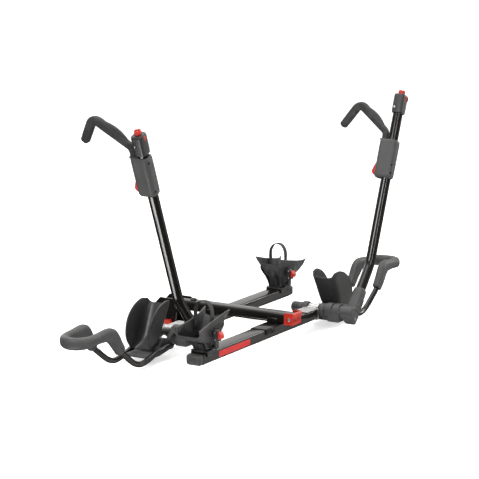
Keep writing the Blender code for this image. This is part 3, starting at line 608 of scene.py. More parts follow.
piece("visual_lever_pin", near.put([turned((0, -.059, .0185), (1, 0, 0), rivet, 36)]), ("lever_pin",))
print("handle reaches", nose[:, 0].min())

# %% [markdown]
# ## Fold hinge
#
# A zinc plated casting closes the bar's inner end and carries the pin on which the arm and the tray fold.
# Its neck is lofted from the plate's rectangle down to the eye, and the pin is turned, with a thick barrel.

# %% Casting and pin
HINGE = (.244, -.006)
for side in SIDES:
    x1 = side.x1
    plate = slab(box_section(.0560, .0370, .004) + (0, -.0158), x1 + .0004, x1 + .0064, .0009, "x")
    tenon = slab(box_section(.0426, .0246, .003) + (0, -.0160), .180, x1 + .002, .0008, "x")
    top = slab(box_section(.0480, .0027, .0010, 4) + (0, .00165), .150, x1 + .003, .0006, "x")
    neck = np.stack([box_section(w, h, r) + (0, z) for w, h, r, z in spline(
        mm([(39.6, 30, 5, -11.5), (37.2, 28.6, 6, -8.5), (34.5, 27, 6, -7), (33, 25, 6, -6.5)]), 10)])
    neck = shell(set_at(np.linspace(x1 + .005, HINGE[0] - .006, 10), neck, "x"))
    ring = mm([(-18, 16.2), (-17, 17.5), (-13, 17.8), (-12, 17), (12, 17), (13, 17.8), (17, 17.5), (18, 16.2)])
    at = (HINGE[0], 0, HINGE[1])
    bore = turned((HINGE[0], -.03, HINGE[1]), (0, 1, 0), [(0, .0088), (.06, .0088)], 48)
    side.make("hinge_bracket", [plate, tenon, top, neck, turned(at, (0, 1, 0), ring, 48)], cut=[bore], smooth=38)
    pin = mm([(-88, 5), (-87.8, 7.2), (-86.8, 8.4), (42.4, 8.5), (42.6, 14.5), (43.6, 16.3), (45, 16.8), (56, 16.8),
        (56.4, 16), (57.6, 16), (58, 16.8), (72, 16.8), (76.5, 16.4), (79.5, 15), (80.8, 12), (81, 7), (79, 6),
        (78.8, .5)])
    side.make("fold_pin", [turned(at, (0, 1, 0), pin, 48)])
print("fold axis at", HINGE)

# %% [markdown]
# ## Front wheel arm
#
# The arm is a round tube with one long bend. Its foot sits in a moulded boot that turns on the fold pin, and
# its top in a lock head with a red key knob. Each section is placed by its distance up the leaning tube.

# %% Arm tube
ARM_Y, TUBE_R = -.125, .015875
FOOT, BEND, LEAN = np.array((.262, ARM_Y, -.0083)), np.array((.382, ARM_Y, .129)), unit(np.array((.3684, 0, .9296)))
ACROSS = np.array((LEAN[2], 0, -LEAN[0]))


def up_arm(d, across=0.0, y=0.0):
    """Point at distance d up the leaning tube, moved outwards across it and along y from its middle."""
    d, across, y = np.broadcast_arrays(d, across, y)
    return BEND + LEAN * d[..., None] + ACROSS * across[..., None] + np.stack([0 * y, y, 0 * y], -1)


def along_arm(d, sections, y=0.0):
    """Closed shell from one section a row: its first coordinate across the tube, its second along y."""
    s = np.asarray(sections)
    return shell(up_arm(np.asarray(d)[:, None], s[..., 0], s[..., 1] + y))


for side in SIDES:
    path = rounded([FOOT, BEND, up_arm(.545)], .10, 24)
    side.make("arm_tube", [tube(path, TUBE_R, .0021, (0, 1, 0), 48)])
print("arm stands", round(float(up_arm(.545)[2]), 3), "m over the bar")

# %% [markdown]
# The boot is lofted up the lower tube: a soft box that narrows into a collar. The knuckle beside it is turned
# about the fold pin and ribbed, as thick mouldings are, so that it cools without sinking.

# %% Arm boot and knuckle
lower = unit(BEND - FOOT)
for side in SIDES:
    rows = mm([(-34, 30, 32, 9), (-32.5, 36, 37, 10), (-29, 39.5, 39.5, 10), (-4, 39.5, 39.5, 9), (-2, 37.2, 37.2, 9),
        (56, 37, 37, 10), (58, 36.2, 36.2, 10), (60, 36.2, 36.2, 10), (62, 37.6, 37.6, 10), (78, 37, 37, 11),
        (84, 35.8, 35.8, 12), (86.2, 34.2, 34.2, 12)])
    boot = carry(FOOT + rows[:, :1] * lower, boxes(rows[:, 1:]), (0, 1, 0))
    rail = slab(box_section(.0042, .0040, .0012, 4), .002, .0545, .0012, "z")
    u, v = unit(np.cross((0, 1, 0), lower)), np.array((0, 1.0, 0))
    rails = [(FOOT + (rail[0][:, :1] + x) * u + (rail[0][:, 1:2] + .0180 * s) * v + rail[0][:, 2:] * lower, *rail[1:])
        for s in (-1, 1) for x in (-.0105, 0, .0105)]
    knuckle = mm([(-143, 16), (-142.5, 19), (-140, 22.2), (-137, 23.5), (-104, 23.5), (-103.4, 21.2), (-96, 21.2),
        (-95.4, 25.2), (-76, 25.5), (-75.4, 22.2), (-70.2, 22.2), (-69.6, 26.4), (-52, 26.4), (-48, 25.6),
        (-42.8, 22.6), (-42.5, 19)])
    knuckle = turned((HINGE[0], 0, HINGE[1]), (0, 1, 0), knuckle, 56)
    heel = slab(rounded(mm([(214, -36), (300, -36), (306, -20), (290, 12), (244, 14), (220, 0)]),
        .007, 6, True), -.1000, -.0600, .003)
    bore = turned((HINGE[0], -.0885, HINGE[1]), (0, 1, 0), [(0, .0088), (.060, .0088)], 40)
    sock = shell(carry(FOOT + np.array((-.0003, .15))[:, None] * lower, oval(.0162, .0162, 48), (0, 1, 0)))
    side.make("arm_hub", [shell(boot), knuckle, heel] + rails, cut=[bore, sock], smooth=38)
    screw = mm([(-4, 3.5), (.8, 4), (1.6, 3.6), (1.8, 2.4), (.6, 2), (.5, .3)])
    side.make("boot_screw", [turned(FOOT + lower * -.020 + v * -.0185, (0, -1, 0), screw, 28)], False,
        body="arm", slot="zinc_steel")
print("boot is", len(rows), "sections")

# %% [markdown]
# The lock head is a soft box with a stepped foot. A silver latch stud looks out of its inner face, a dust cap
# covers the lock barrel, and the red knob on top has a notched crown for the fingers.

# %% Lock head
for side in SIDES:
    rows = mm([(502, 35, 32, 9), (502.6, 38.5, 35, 10), (504, 39.5, 36, 10), (513, 39.5, 36, 10), (514, 41, 37, 10),
        (558, 41, 37, 10), (562.5, 40, 36, 10), (564.8, 37.5, 33.5, 9), (565.5, 33, 29, 7)])
    head = along_arm(rows[:, 0], boxes(rows[:, 1:]))
    ridge = along_arm([.5165, .5175, .5560, .5570], [box_section(w, .0395, .002, 4) for w in (.006, .009, .009, .006)])
    bore = shell(carry(up_arm(np.array((.49, .5453))), oval(.0162, .0162, 48), (0, 1, 0)))
    side.make("lock_head", [head, ridge], cut=[bore], smooth=38)
    stud = mm([(-4, 4), (4.5, 4), (5.5, 3.4), (5.8, 2), (5.8, .2)])
    side.make("latch_stud", [turned(up_arm(.519, -.0200, .006), -ACROSS, stud, 28),
        turned(up_arm(.5355, .0200, .006), ACROSS, np.array(stud) * (.9, .7), 28)],
        False, body="arm", slot="zinc_steel")
    cap = mm([(-3, 7), (4, 8.2), (5.2, 7.8), (5.6, 6.2), (4.6, 5.4), (4.5, .3)])
    side.make("dust_cap", [turned(up_arm(.5520, .0060, -.0155), (0, -1, 0), cap, 36)], False, body="arm",
        slot="black_rubber")
    tag = along_arm(mm((545, 545.8, 560, 560.8)),
        boxes(mm([(6, 3, 1), (7.5, 4, 1.5), (7.5, 4, 1.5), (6, 3, 1)]), 3), -.0187)
    side.make("lock_flag", [tag], False, body="arm", slot="red_plastic")
    crown = mm([(.2, 9), (.6, 10.4), (3, 10.8), (10, 10.8), (12.8, 10.3), (13.4, 9), (13.4, 4.8), (10, 4), (9.8, .4)])
    notch = [turned(up_arm(.5658 + .0130), (math.cos(a) * LEAN[2], math.sin(a), -math.cos(a) * LEAN[0]),
        [(.003, .0016), (.015, .0022)], 20) for a in np.arange(5) * 2 * math.pi / 5]
    side.make("lock_core", [turned(up_arm(.5658), LEAN, crown, 60, 10, .0005)], cut=notch, smooth=30)
print("lock head is at", [round(float(v), 3) for v in up_arm(.53)])

# %% [markdown]
# ## Slider and trigger
#
# Two moulded halves clasp the tube. The housing is a ring loop: up the outside, in at the top and down the bore.
# Its screws sit in deep round pockets, and the red trigger lies in a pocket that faces the wheel.

# %% Slider
for side in SIDES:
    lo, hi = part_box(side.name + "_slider")
    centre = np.array(((lo.x + hi.x) / 2 * side.sign, (lo.y + hi.y) / 2 - side.y, (lo.z + hi.z) / 2 - side.z))
    home = float(round(np.dot(centre - BEND, LEAN), 3))
    half, off = .0635, .0095
    rows = mm([(-63.5, 30, 48, 9), (-62.3, 34, 53, 11), (-59, 38.5, 58, 13), (-54.5, 41, 60, 13.5), (-10, 43, 61, 14),
        (52.5, 42.5, 61.2, 14), (58.5, 41, 60, 13), (62, 38.5, 57.5, 12), (63.5, 35, 54, 11)])
    outer = boxes(rows[:, 1:], 12)
    d = home + rows[:, 0]
    body = up_arm(d[:, None], outer[..., 0], outer[..., 1] + off)
    angle = np.arctan2(outer[0, :, 1] + off, outer[0, :, 0])
    ring = .0164 * np.stack([np.cos(angle), np.sin(angle)], 1)
    inner = up_arm(np.array((home + half - .002, home - half + .002))[:, None], ring[:, 0], ring[:, 1])
    lips = up_arm(np.array((home + half, home - half))[:, None], ring[:, 0] * 1.06, ring[:, 1] * 1.06)
    grid = np.concatenate([body, lips[:1], inner, lips[1:]])
    collar = along_arm(home + half + np.array((-.002, .0006, .0015, .0018)),
        [box_section(w, .026, .006) for w in (.032, .0315, .030, .027)], .0295)
    holes, screws = [], []
    for k, (a, s) in enumerate(((.0085, .047), (.0085, -.047), (-.0120, -.046), (-.0130, -.020))):
        at = up_arm(home + s, a, -.0230)
        holes.append(turned(at, (0, 1, 0), [(0, .0044), (.0085, .0040)], 28))
        screws.append(turned(at + (0, .0090, 0), (0, -1, 0), mm([(0, 3.4), (2.2, 3.4), (3, 2.6), (3.1, 1.6),
            (1.8, 1.3), (1.7, .2)]), 6 * 4))
    pocket = along_arm(home + np.array((-.0545, -.0540, -.0050, -.0045)),
        [box_section(w, .0324, .003, 4) for w in (.0180, .0196, .0196, .0180)], .0418)
    side.make("slider", [shell(grid, loop=True), collar], cut=holes + [pocket], smooth=36)
    side.make("slider_screws", screws, False, body="slider", slot="zinc_steel",
        finish=FINISH["black_paint"])
    key = mm([(-55, -2, 7, 14), (-53, -4.5, 9.2, 16.5), (-46, -4.2, 14.8, 17.6), (-34, -8.2, 12.8, 17.8),
        (-18, -10.5, 6.2, 17.8), (-7.5, -9.2, 1, 17.2), (-5.8, -8, -1, 14)])
    key = spline(key, 26)
    rows = np.stack([box_section(w, b - a, min(.0038, (b - a) * .45), 6) + (0, (a + b) / 2) for _, a, b, w in key])
    side.make("trigger", [along_arm(home + key[:, 0], rows, .038)], smooth=60)
    side.home = home
print("housings stand", [s.home for s in SIDES], "m up the tube")

# %% [markdown]
# ## Hook
#
# A rubber-covered bar leaves the housing and arches over the tyre. Straight limbs with rounded corners give the
# path, a soft box is carried along it, and a swelling section under the arch is the pad that presses on the
# tyre. The end is domed, with a fine groove where the end cap starts.

# %% Hook
HOOK = mm([(60.5, -94.5), (63.5, -94.5), (89.5, -95.5), (180, 18), (96, 69)])   # up the arm, along y
HOOK_A = mm((9.8, 10.2, 10.8, 11.4, 12, 12.4, 12.4, 12.4, 12))
HOOK_B = mm((9.8, 10.4, 11.2, 12, 13, 13.4, 13.2, 13, 12.4))
for side in SIDES:
    ctrl = up_arm(side.home + HOOK[:, 0], .002, HOOK[:, 1] - ARM_Y)
    path = np.concatenate([rounded(ctrl[:4], .030, 14)[:-1], rounded(ctrl[2:], .023, 24)[1:]])
    path = even(path, 120)
    a, b = spline(np.stack([HOOK_A, HOOK_B], 1), 120).T
    t = unit(np.gradient(path, axis=0))
    over = np.cross(t, unit(np.array((1.0, 0, 0)) - t[:, :1] * t))
    to_tip = np.linalg.norm(path - path[-1], axis=1)
    dome = np.sqrt(np.clip(1 - np.clip(1 - to_tip / .0095, 0, 1) ** 2, .04, 1))
    groove = 1 - .05 * np.exp(-((to_tip - .0150) / .0011) ** 2)
    ring = oval(1, 1, 56, 3.4) * np.stack([a * dome * groove, b * dome * groove], 1)[:, None]
    hook = shell(carry(path, ring, over))
    k = np.arange(22, 66)
    s = (k - k[0]) / (len(k) - 1)
    swell = np.sin(np.pi * s ** 1.15) ** .8 * (1 - .35 * s)
    pad = oval(1, 1, 40, 2.6) * np.stack([.0025 + .0075 * swell ** .5, .0040 + .0105 * swell], 1)[:, None]
    pad = shell(carry(path[k] - over[k] * (b[k] * .62)[:, None], pad, over[k]))
    side.make("hook", [hook, pad], smooth=60)
print("hook's crown is", round(float(path[:, 2].max()), 3), "m over the bar")

# %% [markdown]
# ## Troughs
#
# The paddle behind the front wheel and the rear cradle are both troughs: a U stretched between a floor line and
# a rim line, with an even wall, a rounded bead along the rim and a rounded lip at each end. A sculpted mesh
# could look as good, but rows keep both walls parallel.


# %% Trough
U_SHAPE = [(0, 0), (.30, .0), (.56, .018), (.76, .08), (.895, .25), (.955, .58), (1.0, 1.0)]


def trough(floor, rim, width, wall, shift=0.0, rows=56, bead=1.5):
    """U between floor and rim: inner curve plus wall times its normal; a half circle closes each rim."""
    f, r, w = spline(floor, rows), spline(rim, rows), spline(width, rows)
    half = spline(U_SHAPE, 15)
    u = np.concatenate([half[:0:-1] * (-1, 1), half])
    depth = np.linalg.norm(r - f, axis=1)
    n = (r - f) / depth[:, None]
    inner = np.stack([w[:, None] * u[:, 0], depth[:, None] * u[:, 1]], -1)
    t = unit(np.gradient(inner, axis=1))
    thick = wall * (1 + (bead - 1) * np.clip((u[:, 1] - .8) / .15, 0, 1) ** 2)
    outer = inner + thick[:, None] * np.stack([t[..., 1], -t[..., 0]], -1)
    phi = np.linspace(0, np.pi, 7)[1:-1, None]

    def turn(a, b, up):
        e = (b - a)[:, None] / 2
        high = up[:, None] * np.linalg.norm(e, axis=-1, keepdims=True)
        return (a + b)[:, None] / 2 - e * np.cos(phi) + high * np.sin(phi)

    ring = np.concatenate([inner, turn(inner[:, -1], outer[:, -1], t[:, -1]), outer[:, ::-1],
        turn(outer[:, 0], inner[:, 0], -t[:, 0])], 1)
    k, size = inner.shape[1], ring.shape[1]
    p = np.stack([shift + f[:, :1] + n[:, :1] * ring[..., 1], ring[..., 0], f[:, 1:] + n[:, 1:] * ring[..., 1]], -1)
    mate = (2 * k + len(phi) - 1 - np.arange(size)) % size
    ends = []
    for a, b in ((p[0], p[1]), (p[-1], p[-2])):
        mid, out = (a + a[mate]) / 2, unit(a - b)
        q = np.linspace(0, np.pi / 2.1, 4)[1:, None, None]
        ends.append(mid + (a - mid) * np.cos(q) + out * wall / 2 * np.sin(q))
    return shell(np.concatenate([ends[0][::-1], p, ends[1]]))


PADDLE_FLOOR = mm([(386, -36), (360, -25), (341, -5), (326, 22), (311, 50), (298, 76), (291, 88)])
PADDLE_RIM = mm([(401, -31), (418, 0), (414, 36), (396, 67), (364, 93), (328, 105), (302, 102)])
PADDLE_W = mm((33, 36, 39, 41, 41, 40, 36))
for side in SIDES:
    side.make("paddle", [trough(PADDLE_FLOOR, PADDLE_RIM, PADDLE_W, .0036)], smooth=60)
print("paddle stands", PADDLE_RIM[5][1], "m over the bar")

# %% [markdown]
# ## Tray base and hoop
#
# The base is a deep moulding under the paddle, with two lugs on the fold pin. One bent rod comes out of it, dips
# under the wheel and runs up into a grey horseshoe moulding that cups the tyre: the same curve with a wider
# section.

# %% Tray base
ROD_R = .0090
for side in SIDES:
    outline = rounded(mm([(385.5, -41.5), (424, -43), (430, -52), (400, -60), (350, -61.5), (300, -54), (276, -44),
        (275.5, -26), (292, -18), (318, -10), (334.5, -8.5), (354.5, -30)]),
        .008, 6, True)
    shells = [slab(outline, -.0377, .0377, .0050, n=6)]
    panel = spline(mm([(402, -53), (372, -56.5), (335, -56), (305, -48.5), (318, -40), (352, -42), (385, -46.2),
        (402, -53)]), 60)[:-1]
    for s in (-1, 1):
        a, b = sorted((s * .0203, s * .0403))
        drum = [(a, .0185), (a + .0006, .0205), (a + .0022, .0215), (b - .0022, .0215), (b - .0006, .0205), (b, .0185)]
        shells.append(turned((HINGE[0], 0, HINGE[1]), (0, 1, 0), drum, 48))
        a, b = sorted((s * .0212, s * .0368))
        shells.append(slab(rounded(mm([(246, -26), (262, -42), (290, -52), (300, -30), (294, -20),
            (252, 14.5)]), .004, 5, True), a, b, .0018))
        a, b = sorted((s * .0367, s * .0380))
        shells.append(slab(panel, a, b, .0006))
    legs = [turned((.298, s * .022, -.037), (0, s, 0), [(0, ROD_R + .0003), (.03, ROD_R + .0003)], 24) for s in (-1, 1)]
    bore = turned((HINGE[0], -.05, HINGE[1]), (0, 1, 0), [(0, .0088), (.1, .0088)], 48)
    side.make("tray_base", shells, cut=legs + [bore], smooth=38)
print("tray base is", len(shells), "shells")

# %% Hoop rod and cover
LEG = rounded(mm([(298, 24, -37), (298, 47.2, -37), (335, 47.2, -37)]), .0090, 5)
LEG = np.concatenate([LEG, mm([(385, 47.2, -42), (432, 47.2, -54), (470, 47.2, -58), (505, 47.4, -48),
    (545, 48.2, -21)])])
COVER = mm([(578, 49, 4), (600, 49, 31), (616, 48.2, 52), (630, 47.2, 63), (650, 46, 67), (685, 44.8, 66),
    (715, 44, 64)])
turn = np.linspace(np.pi / 8, np.pi / 2, 4)
NOSE = np.stack([.715 + .045 * np.sin(turn), .0440 * np.cos(turn), .0640 - .004 * np.sin(turn)], 1)
half_hoop = np.concatenate([COVER, NOSE])
whole = np.concatenate([half_hoop, half_hoop[-2::-1] * (1, -1, 1)])
WIDE = mm((11.8, 12.6, 13.4, 13.8, 13.8, 13.8, 13.8, 14.4, 14.8, 14.9, 14.9))
HIGH = mm((15.8, 18.4, 21.2, 22.2, 19.2, 16.6, 16.2, 17, 18, 18.4, 18.4))
FULL = (4.6, 4.4, 3.8, 3.0, 2.7, 2.5, 2.4, 2.4, 2.4, 2.4, 2.4)
size = np.stack([WIDE, HIGH, FULL], 1)
size = np.concatenate([size, size[-2::-1]])
for side in SIDES:
    rod = np.concatenate([LEG, whole, LEG[::-1] * (1, -1, 1)])
    side.make("hoop_rod", [shell(carry(spline(rod, 260), oval(ROD_R, ROD_R, 32), (0, 0, 1)))], smooth=60)
    path, dims = spline(whole, 200), spline(size, 200)
    end = np.minimum(np.linalg.norm(path - path[0], axis=1), np.linalg.norm(path - path[-1], axis=1))
    lip = 1 - .14 * (1 - np.clip(end / .004, 0, 1)) ** 2.5
    wide, high, power = (dims * np.stack([lip, lip, np.ones(200)], 1))[:, :, None].transpose(1, 0, 2)
    outer = carry(path, oval(wide, high, 48, power), (0, 0, 1))
    inner = carry(path, oval(ROD_R + .0006, ROD_R + .0006, 48), (0, 0, 1))
    side.make("hoop_cover", [shell(np.concatenate([outer, inner[::-1]]), loop=True)], smooth=60)
    eyes = [turned((.592, y * .0488, .0190), (0, y, 0), mm([(4, 4.8), (12.2, 5.2), (12.9, 4.8), (12.9, 3), (11, 2.6),
        (10.9, .3)]), 28) for y in (-1, 1)]
    side.make("cover_plugs", eyes, False, body="tray", slot="black_plastic")
print("hoop reaches", round(float(path[:, 0].max()), 3), "m from the rack's middle")

# %% [markdown]
# ## Rear cradle
#
# The rear wheel stands in a V of charcoal plastic whose two ends flare and carry small studs. Its funnel foot
# clamps the bar and slides along it. A ladder strap goes over the rim and into a ratchet buckle.

# %% Cradle and foot
CRADLE_X = -.430
CRADLE_FLOOR = mm([(-87, 60), (-68, 46), (-46, 37), (-18, 31), (14, 34), (34, 50), (50, 74), (63, 92)])
CRADLE_RIM = mm([(-101, 86), (-88, 83), (-60, 85), (-22, 92), (16, 99), (44, 106), (64, 112), (74, 114)])
CRADLE_W = mm((45, 41, 36, 33, 33, 35, 38, 40))


def studded():
    """Charcoal plastic with rows of small studs where the trough flares, and plain grain in its middle."""
    f = Finish("studded charcoal plastic", Specular_IOR_Level=0.45)
    along = f.node("ShaderNodeSeparateXYZ", {}, {0: f.place}, "X")
    far_out = f.level(abs(abs(along) + CRADLE_X), .046, .052)
    dots = f.node("ShaderNodeTexVoronoi", {}, {"Vector": f.place, "Scale": 300, "Randomness": 0.15}, "Distance")
    stud = f.level(dots, .30, .42, 1, 0) * far_out
    grain = f.node("ShaderNodeTexVoronoi", {}, {"Vector": f.place, "Scale": 1500}, "Distance")
    flow = f.cloud(22, 4)
    f.set(Base_Color=f.mix(stud * .8 + f.level(flow, .4, .7) * .2, shade(.036), shade(.13)),
        Roughness=.40 + .12 * flow - .06 * stud,
        Normal=f.relief(stud, .0007, .9, f.relief(grain, .0001, .5)))
    return f.mat


CRADLE_FINISH = studded()
for side in SIDES:
    wide = block((CRADLE_X - .0125, -.060, .0560), (CRADLE_X + .0125, .060, .0700), .002)
    side.make("cradle", [trough(CRADLE_FLOOR, CRADLE_RIM, CRADLE_W, .0033, CRADLE_X)], cut=[wide], smooth=50,
        finish=CRADLE_FINISH)
    f, r = np.array(CRADLE_FLOOR), np.array(CRADLE_RIM)
    under = ((f - unit(r - f) * .0042) + (CRADLE_X, 0))[1:7]
    core = rounded(np.concatenate([[(CRADLE_X - .020, .0005)], under, [(CRADLE_X + .022, .0005)]]), .003, 3, True)
    shells = [slab(core, -.0140, .0140, .0025)]
    for x in (-.040, -.024, -.008, .010, .027):
        foot_x = CRADLE_X + x * .45
        k = np.interp(x, f[:, 0], f[:, 1]) - .0045
        top_x = CRADLE_X + x
        fin = [(foot_x - .0012, .002), (foot_x + .0012, .002), (top_x + .0012, k), (top_x - .0012, k)]
        shells.append(slab(rounded(fin, .0008, 3, True), -.0195, .0195, .0010))
    a, b = BAR_W / 2 + .0003, BAR_W / 2 + .0045
    bend = [(-b, -.011), (-b, .0070), (b, .0070), (b, -.011), (a, -.011), (a, .0003), (-a, .0003), (-a, -.011)]
    saddle = slab(rounded(bend, .0016, 4, True), CRADLE_X - .026, CRADLE_X + .028, .0014, "x")
    shells += [saddle, block((CRADLE_X - .0235, -.0200, .0060), (CRADLE_X + .0255, .0200, .0128), .0022)]
    skirt = spline(mm([(10, -24, 24, 21.2), (22, -30, 27, 22.2), (40, -47, 35, 26.2), (56, -67, 44, 32.2),
        (68, -79, 52, 35.2), (80, -74, 56, 36.2)]), 22)
    for s in (-1, 1):
        rows = np.stack([box_section(x1 - x0, .0030, .0012, 3) + (CRADLE_X + (x0 + x1) / 2, s * y)
            for _, x0, x1, y in skirt])
        shells.append(shell(set_at(skirt[:, 0], rows, "z")))
    side.make("cradle_foot", shells, smooth=38)
    jaw = [block((CRADLE_X - .0300, -.0150, .0006), (CRADLE_X - .0256, .0150, .0085), .0012),
        turned((CRADLE_X - .0295, 0, .0045), (-1, 0, 0), mm([(0, 3.6), (1.8, 3.6), (3, 3), (3.1, .3)]), 24)]
    side.make("clamp_jaw", jaw, False, body="cradle", slot="grey_plastic")
print("cradle is", round(CRADLE_RIM[-1][0] - CRADLE_RIM[0][0], 3), "m long")

# %% [markdown]
# The strap is one band. Its thickness is a row of saw teeth, worked out from the length run so far, so the
# ladder of teeth is real geometry. The buckle is a set of slabs round the strap's way in, with a steel pin and
# the red tab.

# %% Strap, buckle, tab
ARCH = mm([(44, 60.8), (42.5, 61.2), (40.5, 61.2), (35, 62.5), (28.5, 68), (26.5, 82), (29, 108), (26.5, 130),
    (15.5, 146.5), (0, 151.5), (-15.5, 146.5), (-26.5, 130), (-29, 108), (-26.5, 82), (-28.5, 69), (-35, 62),
    (-41, 57), (-43, 48)])
CASE = [(-38.5, 36), (-38.5, 66), (-45, 74), (-52, 70), (-54, 40), (-49, 32)]
BUCKLE = (   # outline, corner radius, points a corner, both ends along the cradle, edge
    (CASE, 3.5, 5, (-13.5, -10.4), 1.1), (CASE, 3.5, 5, (10.4, 13.5), 1.1),
    ([(-38.5, 36), (-38.5, 56), (-39.8, 56), (-41.2, 46), (-41.2, 36)], .6, 3, (-11.5, 11.5), .4),
    ([(-44.6, 34), (-44.6, 56), (-44, 70), (-50, 69), (-52.8, 56), (-52, 40), (-49, 34)], 2, 4, (-11.5, 11.5), 1),
    ([(-46, 12.5), (-40.5, 12.5), (-40.5, 40), (-46, 40)], 1.4, 4, (-9, 9), 1.2),
    ([(-44, 12), (-16.8, 12), (-16.8, 17), (-44, 17)], 1.4, 4, (-9, 9), 1.2),
    ([(-40.5, 16.8), (-25, 16.8), (-40.5, 33)], 1, 4, (-1.8, 1.8), .6))
for side in SIDES:
    line = spline(ARCH, 900)
    run = length_run(line)
    path = np.stack([np.full(900, CRADLE_X), line[:, 0], line[:, 1]], 1)
    tooth = np.where((run > .030) & (run < run[-1] - .004), (run / .0026) % 1, 0)
    head = np.clip(1 - (run - .0022) / .0010, 0, 1)
    thick = np.full(900, .0011) + .0032 * head
    flat = box_section(2, 2, .22, 4)
    ring = flat * np.stack([thick, np.full(900, .0093)], 1)[:, None]
    outward = (flat[:, 0] > .3) & (abs(flat[:, 1]) < .8)
    ring[..., 0] += outward * (tooth * .0009)[:, None]
    side.make("strap", [shell(carry(path, ring, (1, 0, 0)))], smooth=30)

    body = [slab(rounded(mm(rows), r / 1000, n, True), *(CRADLE_X + mm(ends)), edge / 1000, "x")
        for rows, r, n, ends, edge in BUCKLE]
    side.make("buckle", body, smooth=38)
    axle = mm([(15, .4), (15, 1.6), (14.6, 2.6), (13.7, 2.9)])
    axle = np.concatenate([axle * (-1, 1), axle[::-1]])
    side.make("buckle_axle", [turned((CRADLE_X, -.0462, .0640), (1, 0, 0), axle, 28),
        turned((CRADLE_X, -.0478, .0415), (1, 0, 0), axle * (1, .8), 24)], False,
        body="cradle", slot="zinc_steel")
    tab = rounded(mm([(-54.3, 44), (-53.6, 62), (-56, 66), (-63, 56), (-64, 46), (-59, 42)]),
        .0024, 6, True)
    side.make("release_tab", [slab(tab, CRADLE_X - .0105, CRADLE_X + .0105, .0012, "x")])
print("strap is", round(float(run[-1]), 3), "m long")

# %% [markdown]
# ## Reflector band
#
# A plain red band lies on the camera side of the near bar. It is a thin flat sheet a tenth of a millimetre proud,
# with the honeycomb of cells that reflective tape has.

# %% Band
band = Finish("red reflective tape", Specular_IOR_Level=0.6)
cells = band.node("ShaderNodeTexVoronoi", {"feature": "DISTANCE_TO_EDGE"},
    {"Vector": band.place, "Scale": 330, "Randomness": 0.0}, "Distance")
wall = band.level(cells, .03, .09)
band.set(Base_Color=band.mix(wall, (.26, .007, .006, 1), (.52, .012, .010, 1)), Roughness=.25 + .1 * wall,
    Normal=band.relief(wall, .00008, .6))
strip = slab(box_section(.180, .0185, .002, 6) + (-.296, -.0165), -.02515, -.0249, .00005)
piece("visual_red_band", near.put([strip]), body="frame", slot="red_plastic", finish=band.mat)
print("band", .180, "m long")

# %% [markdown]
# ## Studio
#
# The floor is a pale sheet that reflections pass through. A wide soft light overhead gives the bars their grey
# tops, and strips give the tubes one clean line: the low one lies under the floor and shows in reflections only.
# The world is bright behind the rack and dark in front, with two pale strips for the tubes' sides.

# %% Floor, lights, camera
floor = new_object("floor", mesh_of("floor", [block((-30, -30, -.0120), (30, 30, -.0020), .001)]))
lo, hi = cad_box
drop = np.array([v.co for v in floor.data.vertices]) + (0, 0, lo.z)
floor.data.vertices.foreach_set("co", drop.astype(np.float32).ravel())
paper = Finish("studio paper", Roughness=.9, Specular_IOR_Level=.1, Emission_Color=(1, 1, 1, 1), Emission_Strength=.62)
paper.set(Base_Color=paper.mix(paper.cloud(3, 2), (.86, .86, .86, 1), (.89, .89, .89, 1)))
floor.data.materials.append(paper.mat)
floor.visible_glossy = False


def stand(place, x, y, z):
    """Matrix that puts an object at a place with its own three axes along x, y and z."""
    return Matrix([(*row, p) for row, p in zip(np.stack([x, y, z], 1), place)] + [(0, 0, 0, 1)])


def light(name, place, aim, size, power):
    """Soft rectangular light that looks at a point and isn't seen itself."""
    data = bpy.data.lights.new(name, "AREA")
    data.shape, data.size, data.size_y, data.energy = "RECTANGLE", size[0], size[1], power
    ob = new_object(name, data)
    z = unit(np.array(place, float) - aim)
    x = unit(np.cross((0, 0, 1), z)) if abs(z[2]) < .99 else np.array((1.0, 0, 0))
    ob.matrix_world = stand(place, x, np.cross(z, x), z)
    ob.visible_camera = False
    return ob


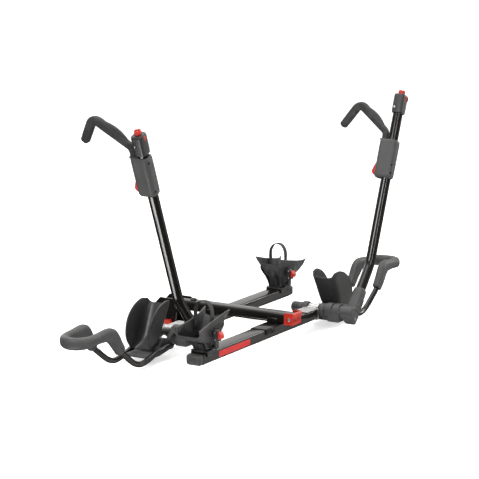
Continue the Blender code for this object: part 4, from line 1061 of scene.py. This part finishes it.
light("overhead", (.2, -.2, 2.6), (0, -.3, 0), (2.6, 2.2), 50)
light("strip", (-1.3, -3.2, 1.6), (0, -.3, .3), (.16, 2.4), 36)
light("left strip", (-2.48, -.11, 2.08), (.5, -.63, .4), (1.2, .7), 36)
light("low strip", (-2.36, -.07, -1.9), (-.5, -.4, .4), (2.4, .7), 80)
light("side", (2.8, -1.8, 1.4), (0, -.3, .3), (.4, 2.2), 30)
light("back", (1.5, 2.8, 1.6), (0, -.3, .3), (1.6, 1.6), 22)
world = bpy.data.worlds.new("studio")
world.use_nodes = True
wires = Finish.__new__(Finish)
wires.tree = world.node_tree
sky = wires.node("ShaderNodeTexCoord", {}, {}, "Generated")
up = wires.node("ShaderNodeSeparateXYZ", {}, {0: sky}, "Z")
away = wires.node("ShaderNodeVectorMath", {"operation": "DOT_PRODUCT"}, {0: sky, 1: (.857, .514, 0)}, 1)
bright = wires.level(away, .30, .85, .14, 1.0) * wires.level(up, -.02, .03, .12, 1) + wires.level(up, .35, .95, 0, .55)
for toward, half, power in (((-.97, .17, 0), .08, 1.2), ((.776, -.63, 0), .24, .75)):
    aim = wires.node("ShaderNodeVectorMath", {"operation": "DOT_PRODUCT"}, {0: sky, 1: toward}, 1)
    off = wires.node("ShaderNodeVectorMath", {"operation": "DOT_PRODUCT"}, {0: sky, 1: (-toward[1], toward[0], 0)}, 1)
    bright = bright + wires.level(abs(off), half, half * .7, 0, power) * wires.level(aim, .0, .1)
back = world.node_tree.nodes["Background"]
back.inputs[0].default_value = (1, .985, .965, 1)
world.node_tree.links.new(bright.socket, back.inputs[1])
bpy.context.scene.world = world
bpy.context.scene.view_settings.view_transform = "Standard"

lens = bpy.data.cameras.new("camera")
lens.lens, lens.sensor_width, lens.clip_end = 162.64, 36, 100
camera = new_object("camera", lens)
place = np.array((-5.6866, -3.7834, 1.5933))
right, ahead = np.array((.5142, -.8577, 0)), np.array((.8415, .5045, -.1932))
right, ahead = unit(right), unit(ahead)
up = np.cross(right, ahead)
camera.matrix_world = stand(place, right, up, -ahead)
bpy.context.scene.camera = camera
print("camera", round(float(np.linalg.norm(place)), 2), "m away")
